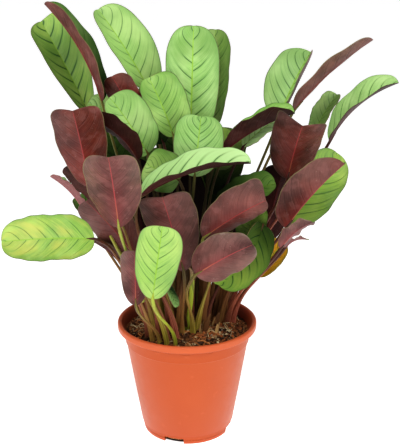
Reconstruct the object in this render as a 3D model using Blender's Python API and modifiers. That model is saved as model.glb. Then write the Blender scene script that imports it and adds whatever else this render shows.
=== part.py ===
"""A potted ctenanthe: a nursery pot, its soil and a dense crown of two-coloured leaves.

Metres, +Z up. The origin is the middle of the pot's flat underside. The front is -Y.
Every leaf is one solid: a blade, its petiole and the sheath at the foot of the petiole.
"""
import math
from dataclasses import dataclass

import bmesh
import bpy
from mathutils import Matrix, Vector

MM = 0.001

# Pot
POT_HEIGHT = 117.0 * MM
RIM_RADIUS = 70.0 * MM
MOUTH_RADIUS = 65.5 * MM
RIM_DEPTH = 7.5 * MM
COLLAR_DEPTH = 14.0 * MM
COLLAR_RADIUS = 63.2 * MM
BASE_RADIUS = 45.0 * MM
FOOT_HEIGHT = 9.0 * MM
WALL = 1.3 * MM
STEP = 1.0 * MM
FOOT_LEDGE = 1.2 * MM
ROUND = 0.8 * MM
POT_SIDES = 32
NOTCH_COUNT = 4
NOTCH_FIRST_DEGREES = -107.0
NOTCH_WIDTH = 20.0 * MM
NOTCH_HEIGHT = 6.0 * MM
NOTCH_REACH = 9.0 * MM

# Soil
GAP = 0.3 * MM
SOIL_GAP = 0.8 * MM
SOIL_EDGE_HEIGHT = 107.0 * MM
SOIL_CROWN = 7.0 * MM
SOIL_RINGS = 4
SOIL_SIDES = 24
SOIL_LUMP = 0.6 * MM
LUMP_TURNS = (0.31, 0.27, 0.17)
FOOT_DEPTH = 8.0 * MM
SOCKET_SIDES = 6
SOCKET_TOP = 127.0 * MM

# Leaves
BLADE_THICKNESS = 0.8 * MM
STATIONS = 7
CELLS = 2
BASE_ROOT = 0.5
TIP_ROOT = 0.42
LOBE_FROM = 0.5
LOBE_POWER = 1.3
WAVE_HEIGHT = 1.0 * MM
WAVES = 2.4
WAVE_SHIFT = 1.9
PETIOLE_STEPS = 5
PETIOLE_RADIUS = 1.3 * MM
RIB_RADIUS = 1.0 * MM
ROOTED = 0.12
SHEATH_TOP = 0.4
STAND = 3.0 * MM
SMOOTH_UNDER_DEGREES = 40.0

# Places in the list of a leaf's materials: upper face 0, then these
UNDERSIDE = 1
STALK = 2

FRONT = (0.0, -1.0, 0.3)
BACK = (0.0, 1.0, 0.3)
UP = (0.0, 0.0, 1.0)


@dataclass
class Leaf:
    """Millimetres and degrees. faces is the way the green side looks.

    shape is the place of the widest point and how blunt the base and the tip are. lobes is how far
    each half of the tip runs on beside the midrib.
    """
    name: str
    foot: tuple
    base: tuple
    tip: tuple
    width: float
    faces: tuple = UP
    arch: float = 4.0
    sweep: float = 0.0
    fold: tuple = (12, 12)
    curl: tuple = (14, 14)
    split: float = 0.5
    shape: tuple = (0.56, 2.3, 3.6)
    lobes: tuple = (0, 0)
    via: tuple = ()
    lean: float = 0.4
    sheath: float = 2.4


LEAVES = (
    # Front left
    Leaf("leaf_left_1", (-19, -46.5), (-58, -88, 240), (-62, -120, 310), 49, BACK,
         arch=3, fold=(6, 6), curl=(16, 16), shape=(0.5, 1.4, 5.0),
         lobes=(0, 4), via=((-66, -75, 226), (-57, -63, 200), (-40, -58, 160))),
    Leaf("leaf_left_2", (-10.5, -48.5), (-29, -98, 177), (-20, -84, 240), 42, FRONT, arch=3, fold=(10, 10),
         shape=(0.64, 1.8, 3.6)),
    Leaf("leaf_left_3", (-26, -43.5), (-46, -74, 161), (-45, -90, 219), 28, BACK, fold=(10, 10)),
    Leaf("leaf_left_4", (-33, -39.5), (-81, -80, 227), (-160, -95, 229), 43, (0, -0.8, 0.6),
         arch=5, fold=(5, 5), curl=(10, 10), shape=(0.5, 3.4, 3.0), via=((-64, -56, 202),)),
    Leaf("leaf_left_5", (-27, -36), (-46, -49, 198), (-90, -58, 256), 42, BACK, fold=(10, 10)),
    Leaf("leaf_left_6", (-38.5, -27), (-56, -40, 178), (-86, -46, 213), 20, (0.3, 0.2, 1), fold=(30, 30)),
    Leaf("leaf_left_7", (-19.5, -39.5), (-86, -61, 270), (-95, -83, 342), 48, BACK, fold=(10, 10),
         curl=(18, 18), shape=(0.6, 1.8, 6.0), lobes=(2, 3), via=((-49, -64, 208), (-58, -70, 238))),
    Leaf("leaf_left_8", (-32, -24.5), (-72, -34, 240), (-108, -38, 284), 40, (0.3, 1.0, 0.3)),
    Leaf("leaf_left_9", (-38.5, -19), (-96, -15, 230), (-128, -19, 269), 16, (0.6, 0.3, 0.6),
         fold=(40, 40)),
    # Upper left
    Leaf("leaf_left_10", (-17, -26), (-44, -44, 291), (-84, -60, 332), 26, (0.3, 0.8, 0.6), arch=0,
         sweep=-9, fold=(16, 16), via=((-39, -24, 262),)),
    Leaf("leaf_left_11", (-27.5, -8), (-60, 13, 312), (-94, 12, 333), 30, (0.2, -0.8, 0.8)),
    Leaf("leaf_left_12", (-36.5, 5), (-96, 27, 322), (-141, 47, 407), 46, (0.5, -1.0, 0.4), fold=(22, 22),
         shape=(0.66, 1.6, 8.0), lobes=(-5, 6)),
    Leaf("leaf_left_13", (-30.5, -1.5), (-78, -12, 339), (-128, -4, 426), 44, (0.88, -0.1, 0.44), arch=7,
         fold=(30, 20)),
    Leaf("leaf_left_14", (-26, 9.5), (-35, 20, 343), (-84, 36, 419), 51, (0.5, -0.85, 0.3), fold=(28, 28),
         split=0.47, shape=(0.48, 2.4, 2.6)),
    Leaf("leaf_left_15", (-23.5, 1), (-42, -11, 310), (-67, -20, 363), 31, BACK, fold=(11, 12)),
    Leaf("leaf_left_16", (-16.5, -18), (-36, -18, 291), (-69, -28, 345), 43, (0.4, -0.9, 0.3), fold=(22, 14),
         curl=(14, 10), split=0.46),
    # Centre
    Leaf("leaf_centre_1", (-14.5, -3), (-12, -6, 305), (-35, 1, 359), 43, (0.3, -0.9, 0.3), fold=(12, 22),
         curl=(10, 14), split=0.4),
    Leaf("leaf_centre_2", (-17, 6), (-22, 6, 296), (-45, 6, 348), 30, (-0.3, -1.0, 0.3), fold=(14, 14)),
    Leaf("leaf_centre_3", (-8, -17), (-6, -46, 272), (-36, -50, 288), 40, (0, -1, 0.4)),
    Leaf("leaf_centre_4", (-1.5, -13), (8, -40, 274), (14, -8, 324), 48, FRONT, shape=(0.5, 2.3, 2.8)),
    Leaf("leaf_centre_5", (2.5, 7), (4, 4, 303), (7, 20, 405), 53, FRONT, fold=(8, 8), curl=(20, 20),
         shape=(0.56, 3.2, 3.0)),
    Leaf("leaf_centre_6", (10.5, 15), (23, 26, 306), (28, 40, 400), 42, (-0.35, -1.0, 0.2), fold=(14, 14)),
    Leaf("leaf_centre_7", (9, 6), (26, 7, 272), (45, 16, 304), 36, FRONT),
    Leaf("leaf_centre_8", (-5, -26), (-2, -56, 188), (-20, -82, 266), 52, BACK, fold=(8, 8),
         curl=(20, 20), shape=(0.66, 1.6, 6.0)),
    Leaf("leaf_centre_9", (-11, -29), (-19, -66, 182), (-8, -70, 158), 8, (0, -0.6, 0.5)),
    Leaf("leaf_centre_10", (-10.5, -35.5), (-40, -75, 264), (57, -82, 296), 48, (0, -0.15, 1.0), arch=8,
         fold=(22, 22), shape=(0.5, 2.3, 2.4), via=((-38, -60, 206),)),
    Leaf("leaf_centre_11", (6, -26), (9, -85, 195), (59, -96, 227), 44, (0.2, 1.0, 0.2), fold=(10, 10),
         shape=(0.42, 2.6, 2.0)),
    Leaf("leaf_centre_12", (10.5, -19.5), (16, -64, 223), (71, -78, 262), 37, (-0.2, 1.0, 0.1),
         fold=(10, 10), split=0.37, shape=(0.6, 2.0, 7.0), lobes=(-5, 12), via=((25, -46, 190),)),
    Leaf("leaf_centre_13", (19, -4.5), (58, -27, 213), (64, -42, 250), 30, FRONT),
    Leaf("leaf_centre_14", (4, -16.5), (27, -26, 239), (83, -34, 266), 36, (0, -0.5, 0.8)),
    # Right
    Leaf("leaf_right_1", (34.5, 4), (71, -49, 231), (30, -63, 177), 37, (0.7, -0.6, 0.5), arch=14,
         shape=(0.5, 4.0, 3.2), via=((58, -36, 200),)),
    Leaf("leaf_right_2", (41, 1.5), (86, -68, 214), (113, -79, 242), 21, (-0.4, 0.8, 0.5)),
    Leaf("leaf_right_3", (46.5, 5.5), (92, -46, 207), (113, -52, 217), 9, (-0.3, 0.5, 0.8)),
    Leaf("leaf_right_4", (47.5, 12), (68, -16, 171), (94, -27, 206), 27, (-0.3, -0.9, 0.4)),
    Leaf("leaf_right_5", (40, 9), (92, -50, 228), (140, -70, 293), 45, (-0.5, 1.0, 0.1), fold=(46, 14),
         split=0.42, shape=(0.45, 2.3, 2.2), lobes=(0, 3)),
    Leaf("leaf_right_6", (46.5, 18.5), (98, -28, 226), (142, -10, 290), 46, (0.2, -1.0, 0.3), fold=(8, 8),
         shape=(0.5, 2.3, 3.0)),
    Leaf("leaf_right_7", (33.5, 11.5), (94, -32, 270), (103, -60, 325), 48, BACK, fold=(8, 8),
         shape=(0.6, 1.8, 14.0), lobes=(2, 15)),
    Leaf("leaf_right_8", (40, 27.5), (124, 24, 299), (147, 36, 338), 24, (-0.5, -0.8, 0.4), fold=(30, 30)),
    Leaf("leaf_right_9", (40, 16), (136, -5, 300), (194, -20, 357), 39, (-0.4, -0.2, 0.8), fold=(22, 22),
         arch=9),
    Leaf("leaf_right_10", (21.5, 19), (89, 18, 317), (121, 46, 378), 50, (-0.5, -0.9, 0.3), fold=(16, 30),
         curl=(20, 60), split=0.55, shape=(0.5, 2.0, 2.2)),
    Leaf("leaf_right_11", (33.5, 22), (102, 0, 329), (170, -12, 395), 37, (-0.6, 0.42, 0.6), fold=(8, 8),
         shape=(0.5, 3.2, 3.0)),
    Leaf("leaf_right_12", (17, 8.5), (38, -12, 293), (99, -32, 331), 40, (-0.35, 0.0, 0.9), fold=(38, 36),
         split=0.46),
    Leaf("leaf_right_13", (16.5, 23), (54, -7, 295), (95, 2, 324), 26, (-0.3, -0.6, 0.8)),
    # Inside and back
    Leaf("leaf_inner_1", (2, 32.5), (-2, 34, 148), (-6, 36, 264), 52, BACK),
    Leaf("leaf_inner_2", (21.5, 32.5), (41, 35, 140), (53, 37, 250), 44, BACK),
    Leaf("leaf_inner_3", (-33, 19), (-38, 24, 158), (-58, 34, 274), 48, BACK),
    Leaf("leaf_inner_4", (38, 34.5), (80, 42, 184), (98, 44, 264), 44, BACK, via=((66, 34, 152),)),
    Leaf("leaf_back_1", (-31, 29), (-66, 54, 250), (-94, 78, 318), 48, (0.5, -0.8, 0.5)),
    Leaf("leaf_back_2", (-23, 35.5), (-24, 56, 208), (-36, 86, 274), 48, (0.3, -0.8, 0.5)),
    Leaf("leaf_back_3", (-4.5, 41.5), (-8, 58, 258), (-14, 90, 332), 50, (0.0, -0.8, 0.5)),
    Leaf("leaf_back_4", (5, 45.5), (12, 66, 196), (18, 102, 256), 46, (0.0, -0.8, 0.6)),
    Leaf("leaf_back_5", (15, 41.5), (34, 60, 228), (48, 90, 294), 48, (-0.3, -0.8, 0.5)),
    Leaf("leaf_back_6", (25, 38), (65, 62, 184), (98, 88, 246), 46, (-0.5, -0.8, 0.5)),
    Leaf("leaf_back_7", (-39.5, 20.5), (-76, 34, 190), (-112, 48, 232), 44, (0.6, -0.6, 0.6)),
    Leaf("leaf_back_8", (-33, 36), (-50, 60, 156), (-78, 88, 200), 42, (0.4, -0.6, 0.7)),
)

# New leaf, still rolled into a spear: points and radii in millimetres, from the soil up
SHOOT_PATH = (
    (0.0, -21.5, 99.0),
    (0.0, -21.5, 114.0),
    (2.6, -21.5, 132.0),
    (4.4, -23.5, 150.0),
    (5.4, -26.0, 166.0),
    (5.0, -28.0, 176.0),
    (3.4, -29.4, 181.0),
    (1.6, -29.8, 181.6),
)
SHOOT_RADII = (2.2, 2.2, 2.1, 2.2, 2.0, 1.5, 1.0, 0.6)


def to_m(point):
    """A point in millimetres as a vector in metres."""
    return Vector(point) * MM


def outline(leaf, t):
    """Half-width of a blade at t, as a share of its full half-width."""
    widest, base_blunt, tip_blunt = leaf.shape
    if t < widest:
        share = (widest - t) / widest
        return (1.0 - share ** base_blunt) ** BASE_ROOT
    share = (t - widest) / (1.0 - widest)
    return (1.0 - share ** tip_blunt) ** TIP_ROOT


def leaf_axes(leaf):
    """Base, tip, the way the green side looks and the sideways direction of a blade."""
    base = to_m(leaf.base)
    tip = to_m(leaf.tip)
    along = (tip - base).normalized()
    faces = Vector(leaf.faces)
    normal = (faces - along * faces.dot(along)).normalized()
    side = along.cross(normal)
    return base, tip, normal, side


def midrib(leaf, t):
    """Point, direction, normal and side of the midrib at t, from 0 at the base to 1 at the tip."""
    base, tip, normal, side = leaf_axes(leaf)
    bow = normal * leaf.arch * MM + side * leaf.sweep * MM
    point = base.lerp(tip, t) + bow * 4.0 * t * (1.0 - t)
    direction = (tip - base + bow * 4.0 * (1.0 - 2.0 * t)).normalized()
    normal = (normal - direction * normal.dot(direction)).normalized()
    return point, direction, normal, direction.cross(normal)


def blade_point(leaf, t, u):
    """A point of the blade: t runs from base to tip, u from -1 at one margin to 1 at the other."""
    point, direction, normal, side = midrib(leaf, t)
    share = leaf.split if u < 0 else 1.0 - leaf.split
    width = outline(leaf, t)
    reach = leaf.width * MM * share * width
    half = 0 if u < 0 else 1
    fold = math.radians(leaf.fold[half])
    curl = math.radians(leaf.curl[half])
    across = abs(u)
    out = reach / curl * (math.sin(fold + curl * across) - math.sin(fold))
    lift = reach / curl * (math.cos(fold) - math.cos(fold + curl * across))
    phase = 2.0 * math.pi * WAVES * t + (WAVE_SHIFT if u < 0 else 0.0) + leaf.width
    lift += WAVE_HEIGHT * across ** 2 * math.sin(phase) * width
    onward = leaf.lobes[half] * MM * (across * width) ** LOBE_POWER
    onward *= max(0.0, (t - LOBE_FROM) / (1.0 - LOBE_FROM))
    return point + side * math.copysign(out, u) + normal * lift + direction * onward


def blade_mesh(leaf):
    """The blade as an open sheet of triangles, a single point at each end."""
    mesh = bmesh.new()
    ends = [mesh.verts.new(blade_point(leaf, t, 0.0)) for t in (0.0, 1.0)]
    rows = []
    for i in range(1, STATIONS):
        t = 0.5 - 0.5 * math.cos(math.pi * i / STATIONS)
        rows.append([mesh.verts.new(blade_point(leaf, t, j / CELLS)) for j in range(-CELLS, CELLS + 1)])
    for j in range(2 * CELLS):
        mesh.faces.new((ends[0], rows[0][j + 1], rows[0][j]))
        mesh.faces.new((ends[1], rows[-1][j], rows[-1][j + 1]))
    for low, high in zip(rows, rows[1:]):
        for j in range(2 * CELLS):
            if j < CELLS:
                mesh.faces.new((low[j], low[j + 1], high[j + 1]))
                mesh.faces.new((low[j], high[j + 1], high[j]))
            else:
                mesh.faces.new((low[j], low[j + 1], high[j]))
                mesh.faces.new((low[j + 1], high[j + 1], high[j]))
    data = bpy.data.meshes.new("blade")
    mesh.to_mesh(data)
    mesh.free()
    return data


def add_materials(mesh, skins):
    """Give a mesh the leaf's three materials in their fixed order."""
    mesh.materials.clear()
    for skin in skins:
        mesh.materials.append(skin)


def hermite(start, end, start_way, end_way, t):
    """A point on the smooth curve from start to end that leaves and arrives along the two ways."""
    a = 2.0 * t ** 3 - 3.0 * t ** 2 + 1.0
    b = t ** 3 - 2.0 * t ** 2 + t
    c = t ** 3 - t ** 2
    return start * a + start_way * b + end_way * c + end * (1.0 - a)


def petiole_route(leaf):
    """Points along a petiole, from the bottom of its socket to its place in the blade."""
    foot = Vector((leaf.foot[0], leaf.foot[1], 0.0)) * MM
    low = foot + Vector((0.0, 0.0, SOIL_EDGE_HEIGHT - FOOT_DEPTH))
    top = foot + Vector((0.0, 0.0, soil_height(foot.x, foot.y) + STAND))
    base, direction, _, _ = midrib(leaf, 0.0)
    stops = [top] + [to_m(point) for point in leaf.via] + [base]
    spans = [b - a for a, b in zip(stops, stops[1:])]
    leave = (Vector((0.0, 0.0, 1.0 - leaf.lean)) + spans[0].normalized() * leaf.lean).normalized()
    arrive = (direction + spans[-1].normalized()).normalized()
    ways = [leave] + [(a + b).normalized() for a, b in zip(spans, spans[1:])] + [arrive]
    points = [low, top]
    steps = max(2, PETIOLE_STEPS // len(spans))
    for k, span in enumerate(spans):
        reach = span.length
        for i in range(1, steps + 1):
            points.append(hermite(stops[k], stops[k + 1], ways[k] * reach, ways[k + 1] * reach, i / steps))
    rooted, _, _, _ = midrib(leaf, ROOTED)
    points.append(rooted)
    return points


def tube(name, points, radii):
    """A closed tube through points, in metres, with a radius in millimetres at each."""
    curve = bpy.data.curves.new(name, "CURVE")
    curve.dimensions = "3D"
    curve.bevel_depth = 1.0 * MM
    curve.bevel_resolution = 1
    curve.use_fill_caps = True
    spline = curve.splines.new("POLY")
    spline.points.add(len(points) - 1)
    for place, point, radius in zip(spline.points, points, radii):
        place.co = (*point, 1.0)
        place.radius = radius
    return bpy.data.objects.new(name, curve)


def petiole_object(leaf):
    """The petiole as a tapering tube, thick where it sheathes the stem."""
    points = petiole_route(leaf)
    last = len(points) - 1
    radii = []
    for i in range(last):
        share = min(1.0, max(0.0, (i - 1) / (last * SHEATH_TOP)))
        radii.append(leaf.sheath + (PETIOLE_RADIUS / MM - leaf.sheath) * share)
    radii.append(RIB_RADIUS / MM)
    return tube("petiole", points, radii)


def evaluated_mesh(obj):
    """The mesh of an object as its modifiers make it."""
    graph = bpy.context.evaluated_depsgraph_get()
    return bpy.data.meshes.new_from_object(obj.evaluated_get(graph))


def weld(mesh):
    """Join the points that lie on each other, such as a curve's loose caps."""
    work = bmesh.new()
    work.from_mesh(mesh)
    bmesh.ops.remove_doubles(work, verts=work.verts, dist=0.001 * MM)
    work.to_mesh(mesh)
    work.free()


def remove(obj):
    """Delete a helper object."""
    bpy.data.objects.remove(obj, do_unlink=True)


def material(name, colour, roughness):
    """A plain Principled material."""
    result = bpy.data.materials.new(name)
    result.use_nodes = True
    shader = result.node_tree.nodes["Principled BSDF"]
    shader.inputs["Base Color"].default_value = (*colour, 1.0)
    shader.inputs["Roughness"].default_value = roughness
    return result


def tube_mesh(obj, collection, skins):
    """The closed mesh of a tube, all in the stalk's material. The tube itself is deleted."""
    collection.objects.link(obj)
    mesh = evaluated_mesh(obj)
    remove(obj)
    weld(mesh)
    add_materials(mesh, skins)
    mesh.polygons.foreach_set("material_index", [STALK] * len(mesh.polygons))
    return mesh


def smooth(mesh):
    """Shade a mesh smooth except along its sharp edges."""
    mesh.shade_smooth()
    mesh.set_sharp_from_angle(angle=math.radians(SMOOTH_UNDER_DEGREES))


def make_leaf(leaf, collection, skins):
    """One leaf: the blade's sheet given its thickness and joined to its petiole."""
    blade = bpy.data.objects.new("blade", blade_mesh(leaf))
    collection.objects.link(blade)
    add_materials(blade.data, skins)
    solid = blade.modifiers.new("thickness", "SOLIDIFY")
    solid.thickness = BLADE_THICKNESS
    solid.offset = 0.0
    solid.material_offset = UNDERSIDE
    result = bpy.data.objects.new(leaf.name, tube_mesh(petiole_object(leaf), collection, skins))
    collection.objects.link(result)
    union = result.modifiers.new("blade", "BOOLEAN")
    union.operation = "UNION"
    union.object = blade
    joined = evaluated_mesh(result)
    result.modifiers.clear()
    result.data = joined
    remove(blade)
    smooth(joined)
    return result


def make_shoot(collection, skins):
    """The rolled new leaf, a slim spear with a hooked tip."""
    spear = tube("spear", [to_m(point) for point in SHOOT_PATH], SHOOT_RADII)
    result = bpy.data.objects.new("leaf_shoot", tube_mesh(spear, collection, skins))
    collection.objects.link(result)
    smooth(result.data)
    return result


def turned(name, profile, sides, collection):
    """A solid turned from (radius, height) points that run down the outer side."""
    data = bpy.data.meshes.new(name)
    edges = [(i, i + 1) for i in range(len(profile) - 1)]
    data.from_pydata([(radius, 0.0, height) for radius, height in profile], edges, [])
    result = bpy.data.objects.new(name, data)
    collection.objects.link(result)
    screw = result.modifiers.new("turn", "SCREW")
    screw.steps = sides
    screw.render_steps = sides
    screw.use_merge_vertices = True
    screw.merge_threshold = 0.00001
    screw.use_smooth_shade = True
    return result


def pot_profile():
    """Inner floor, inner wall, rolled rim, collar, wall, foot band and underside."""
    rim_low = POT_HEIGHT - RIM_DEPTH
    collar_low = rim_low - COLLAR_DEPTH
    wall_top = COLLAR_RADIUS - ROUND - STEP
    wall_low = BASE_RADIUS + STEP + FOOT_LEDGE
    return [
        (0.0, WALL),
        (BASE_RADIUS - WALL - ROUND, WALL),
        (BASE_RADIUS - WALL, WALL + ROUND),
        (wall_low - WALL, FOOT_HEIGHT + ROUND),
        (wall_top - WALL, collar_low),
        (COLLAR_RADIUS - WALL, rim_low + ROUND),
        (MOUTH_RADIUS, POT_HEIGHT - ROUND),
        (MOUTH_RADIUS + ROUND, POT_HEIGHT),
        (RIM_RADIUS - 1.5 * ROUND, POT_HEIGHT),
        (RIM_RADIUS, POT_HEIGHT - 1.5 * ROUND),
        (RIM_RADIUS, rim_low + ROUND),
        (RIM_RADIUS - ROUND, rim_low),
        (COLLAR_RADIUS, rim_low),
        (COLLAR_RADIUS - ROUND, collar_low + STEP),
        (wall_top, collar_low),
        (wall_low, FOOT_HEIGHT + ROUND),
        (wall_low - STEP, FOOT_HEIGHT),
        (BASE_RADIUS + ROUND, FOOT_HEIGHT - ROUND),
        (BASE_RADIUS, ROUND),
        (BASE_RADIUS - ROUND, 0.0),
        (0.0, 0.0),
    ]


def make_pot(parts, cutters):
    """The pot, with its drain notches cut where the wall meets the floor."""
    pot = turned("pot", pot_profile(), POT_SIDES, parts)
    pot.data.materials.append(material("terracotta_plastic", (0.72, 0.14, 0.035), 0.42))
    for i in range(NOTCH_COUNT):
        angle = math.radians(NOTCH_FIRST_DEGREES + 360.0 / NOTCH_COUNT * i)
        bpy.ops.mesh.primitive_cube_add(size=1.0)
        cutter = bpy.context.object
        cutter.name = f"notch_cutter_{i + 1}"
        cutter.data.transform(Matrix.Diagonal((NOTCH_REACH * 2.0, NOTCH_WIDTH, NOTCH_HEIGHT * 2.0, 1.0)))
        cutter.location = (BASE_RADIUS * math.cos(angle), BASE_RADIUS * math.sin(angle), 0.0)
        cutter.rotation_euler = (0.0, 0.0, angle)
        for home in list(cutter.users_collection):
            home.objects.unlink(cutter)
        cutters.objects.link(cutter)
        cutter.hide_render = True
        cutter.display_type = "WIRE"
        cut = pot.modifiers.new(f"notch_{i + 1}", "BOOLEAN")
        cut.operation = "DIFFERENCE"
        cut.object = cutter
    return pot


def inner_radius(height):
    """Inner radius of the pot's wall at a height under the collar."""
    low = (FOOT_HEIGHT + ROUND, BASE_RADIUS + STEP + FOOT_LEDGE - WALL)
    high = (POT_HEIGHT - RIM_DEPTH - COLLAR_DEPTH, COLLAR_RADIUS - ROUND - STEP - WALL)
    share = (height - low[0]) / (high[0] - low[0])
    return low[1] + (high[1] - low[1]) * share


def soil_height(x, y):
    """Height of the soil: a low mound with gentle lumps."""
    reach = math.hypot(x, y) / inner_radius(SOIL_EDGE_HEIGHT)
    mound = SOIL_CROWN * max(0.0, 1.0 - reach ** 2)
    along, across, slant = LUMP_TURNS
    lumps = math.sin(x / MM * along + 1.0) * math.cos(y / MM * across) + math.sin((x - y) / MM * slant)
    return SOIL_EDGE_HEIGHT + mound + SOIL_LUMP * lumps


def soil_mesh():
    """The plug of soil: a lumpy top, a side that follows the pot's wall and a flat bottom."""
    mesh = bmesh.new()
    edge = inner_radius(POT_HEIGHT - RIM_DEPTH - COLLAR_DEPTH) - SOIL_GAP
    bottom = WALL + ROUND + GAP
    low_side = BASE_RADIUS - WALL - ROUND - SOIL_GAP
    mid_height = FOOT_HEIGHT + ROUND
    centre = mesh.verts.new((0.0, 0.0, soil_height(0.0, 0.0)))
    rings = []
    for k in range(1, SOIL_RINGS + 1):
        radius = edge * k / SOIL_RINGS
        rings.append([])
        for i in range(SOIL_SIDES):
            angle = 2.0 * math.pi * i / SOIL_SIDES
            x = radius * math.cos(angle)
            y = radius * math.sin(angle)
            rings[-1].append(mesh.verts.new((x, y, soil_height(x, y))))
    sides = ((edge, POT_HEIGHT - RIM_DEPTH - COLLAR_DEPTH),
             (inner_radius(mid_height) - SOIL_GAP, mid_height),
             (low_side, bottom))
    for radius, height in sides:
        ring = []
        for i in range(SOIL_SIDES):
            angle = 2.0 * math.pi * i / SOIL_SIDES
            ring.append(mesh.verts.new((radius * math.cos(angle), radius * math.sin(angle), height)))
        rings.append(ring)
    for i in range(SOIL_SIDES):
        j = (i + 1) % SOIL_SIDES
        mesh.faces.new((centre, rings[0][i], rings[0][j]))
        for inner, outer in zip(rings, rings[1:]):
            mesh.faces.new((inner[i], outer[i], outer[j]))
            mesh.faces.new((inner[i], outer[j], inner[j]))
    mesh.faces.new(list(reversed(rings[-1])))
    data = bpy.data.meshes.new("soil")
    mesh.to_mesh(data)
    mesh.free()
    return data


def make_soil(parts, cutters):
    """The soil, with one plain socket for each petiole."""
    soil = bpy.data.objects.new("soil", soil_mesh())
    parts.objects.link(soil)
    soil.data.materials.append(material("soil", (0.05, 0.028, 0.015), 0.95))
    sockets = bmesh.new()
    low = SOIL_EDGE_HEIGHT - FOOT_DEPTH - GAP * 2.0
    high = SOCKET_TOP
    feet = [(leaf.foot, leaf.sheath) for leaf in LEAVES] + [(SHOOT_PATH[0], SHOOT_RADII[0])]
    for foot, thick in feet:
        radius = (thick * MM + GAP) / math.cos(math.pi / SOCKET_SIDES)
        place = Matrix.Translation((foot[0] * MM, foot[1] * MM, 0.5 * (low + high)))
        bmesh.ops.create_cone(sockets, cap_ends=True, segments=SOCKET_SIDES, radius1=radius,
                              radius2=radius, depth=high - low, matrix=place)
    data = bpy.data.meshes.new("socket_cutters")
    sockets.to_mesh(data)
    sockets.free()
    cutter = bpy.data.objects.new("socket_cutters", data)
    cutters.objects.link(cutter)
    cutter.hide_render = True
    cutter.display_type = "WIRE"
    cut = soil.modifiers.new("sockets", "BOOLEAN")
    cut.operation = "DIFFERENCE"
    cut.object = cutter
    return soil


def main():
    """Empty the scene, then make the pot, the soil and every leaf."""
    for obj in list(bpy.data.objects):
        bpy.data.objects.remove(obj, do_unlink=True)
    parts = bpy.data.collections.new("potted_ctenanthe")
    cutters = bpy.data.collections.new("cutters")
    bpy.context.scene.collection.children.link(parts)
    bpy.context.scene.collection.children.link(cutters)
    make_pot(parts, cutters)
    make_soil(parts, cutters)
    skins = (
        material("leaf_green", (0.30, 0.55, 0.16), 0.4),
        material("leaf_burgundy", (0.20, 0.06, 0.06), 0.4),
        material("leaf_stalk", (0.25, 0.22, 0.05), 0.5),
    )
    for leaf in LEAVES:
        make_leaf(leaf, parts, skins)
    make_shoot(parts, skins)


main()
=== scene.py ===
"""A potted ctenanthe: its leaves, stalks, soil and nursery pot, with the camera and a soft studio.

Metres, +Z up, the front is -Y. The leaves stand where the solid model's leaves stand. Each one
replaces its plain solid with a finer blade of the same outline, bend and place.
"""
import math
import random
from dataclasses import dataclass
from functools import partialmethod

import bmesh
import bpy
import numpy as np
from mathutils import Matrix, Vector, noise


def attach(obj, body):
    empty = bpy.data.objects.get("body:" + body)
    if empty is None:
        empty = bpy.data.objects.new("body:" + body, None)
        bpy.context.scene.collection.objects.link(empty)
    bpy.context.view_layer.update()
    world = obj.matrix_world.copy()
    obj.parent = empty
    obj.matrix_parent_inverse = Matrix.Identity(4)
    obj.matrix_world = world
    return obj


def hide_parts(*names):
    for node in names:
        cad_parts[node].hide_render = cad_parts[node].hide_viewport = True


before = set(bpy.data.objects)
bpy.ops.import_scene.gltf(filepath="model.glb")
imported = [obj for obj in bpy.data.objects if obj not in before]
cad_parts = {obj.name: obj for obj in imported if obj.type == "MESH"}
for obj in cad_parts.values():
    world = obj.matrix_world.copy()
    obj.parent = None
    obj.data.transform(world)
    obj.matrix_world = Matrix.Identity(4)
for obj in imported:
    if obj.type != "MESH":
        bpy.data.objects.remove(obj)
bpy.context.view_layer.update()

MM = 0.001
BODY = "root"

# Camera: where the photo was taken from, and its focal length in pixels of a 446 pixel high frame
CAMERA_AT = (0.013, -0.826, 0.467)
CAMERA_DOWN_DEGREES = 16.8
FOCAL_PIXELS = 882.0
FRAME_PIXELS = 446.0
SENSOR = 36.0
CLIP = (0.01, 60.0)

# Studio. Each soft box has a place, a target, a size and a power
SOFT_BOXES = {
    "soft_left": ((-1.0, -0.8, 0.6), (0.0, 0.0, 0.2), (0.6, 1.0), 5.0),
    "soft_right": ((1.05, -0.7, 0.6), (0.0, 0.0, 0.2), (0.6, 1.0), 5.0),
    "soft_top": ((0.0, -0.9, 1.3), (0.0, 0.0, 0.25), (0.9, 0.9), 8.5),
}
WHITE = (1.0, 1.0, 1.0, 1.0)
WORLD_LIGHT = 0.28
FLOOR_HALF = 20.0
FLOOR_DROP = 0.2 * MM
# Floor glow, painted light that keeps the floor white, and the soft edge of its painted shadow under the
# pot
FLOOR_GLOW = 0.6
FLOOR_SHADE = 3.0 * MM

# Pot
POT_HEIGHT = 117.0 * MM
RIM_RADIUS = 70.0 * MM
MOUTH_RADIUS = 65.5 * MM
RIM_DEPTH = 7.5 * MM
COLLAR_DEPTH = 14.0 * MM
COLLAR_RADIUS = 63.2 * MM
BASE_RADIUS = 45.0 * MM
FOOT_HEIGHT = 9.0 * MM
WALL = 1.3 * MM
STEP = 1.0 * MM
FOOT_LEDGE = 1.2 * MM
ROUND = 0.8 * MM
POT_SIDES = 160
RIM_STEPS = 10
CORNER_STEPS = 6
MERGE_REACH = 0.01 * MM
SHARP_DEGREES = 35.0
RIM_FILLET = 3.0 * MM
RIM_EDGE = 2.0 * MM
FOOT_LINE = 4.0 * MM
GROOVE = 0.5 * MM
NOTCH_COUNT = 4
NOTCH_FIRST_DEGREES = -107.0
NOTCH_WIDTH = 20.0 * MM
NOTCH_HEIGHT = 6.0 * MM
NOTCH_REACH = 9.0 * MM
RIM_FOOT = POT_HEIGHT - RIM_DEPTH
COLLAR_FOOT = RIM_FOOT - COLLAR_DEPTH
WALL_FOOT = FOOT_HEIGHT + ROUND
WALL_TOP_RADIUS = COLLAR_RADIUS - ROUND - STEP
WALL_FOOT_RADIUS = BASE_RADIUS + STEP + FOOT_LEDGE

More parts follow.
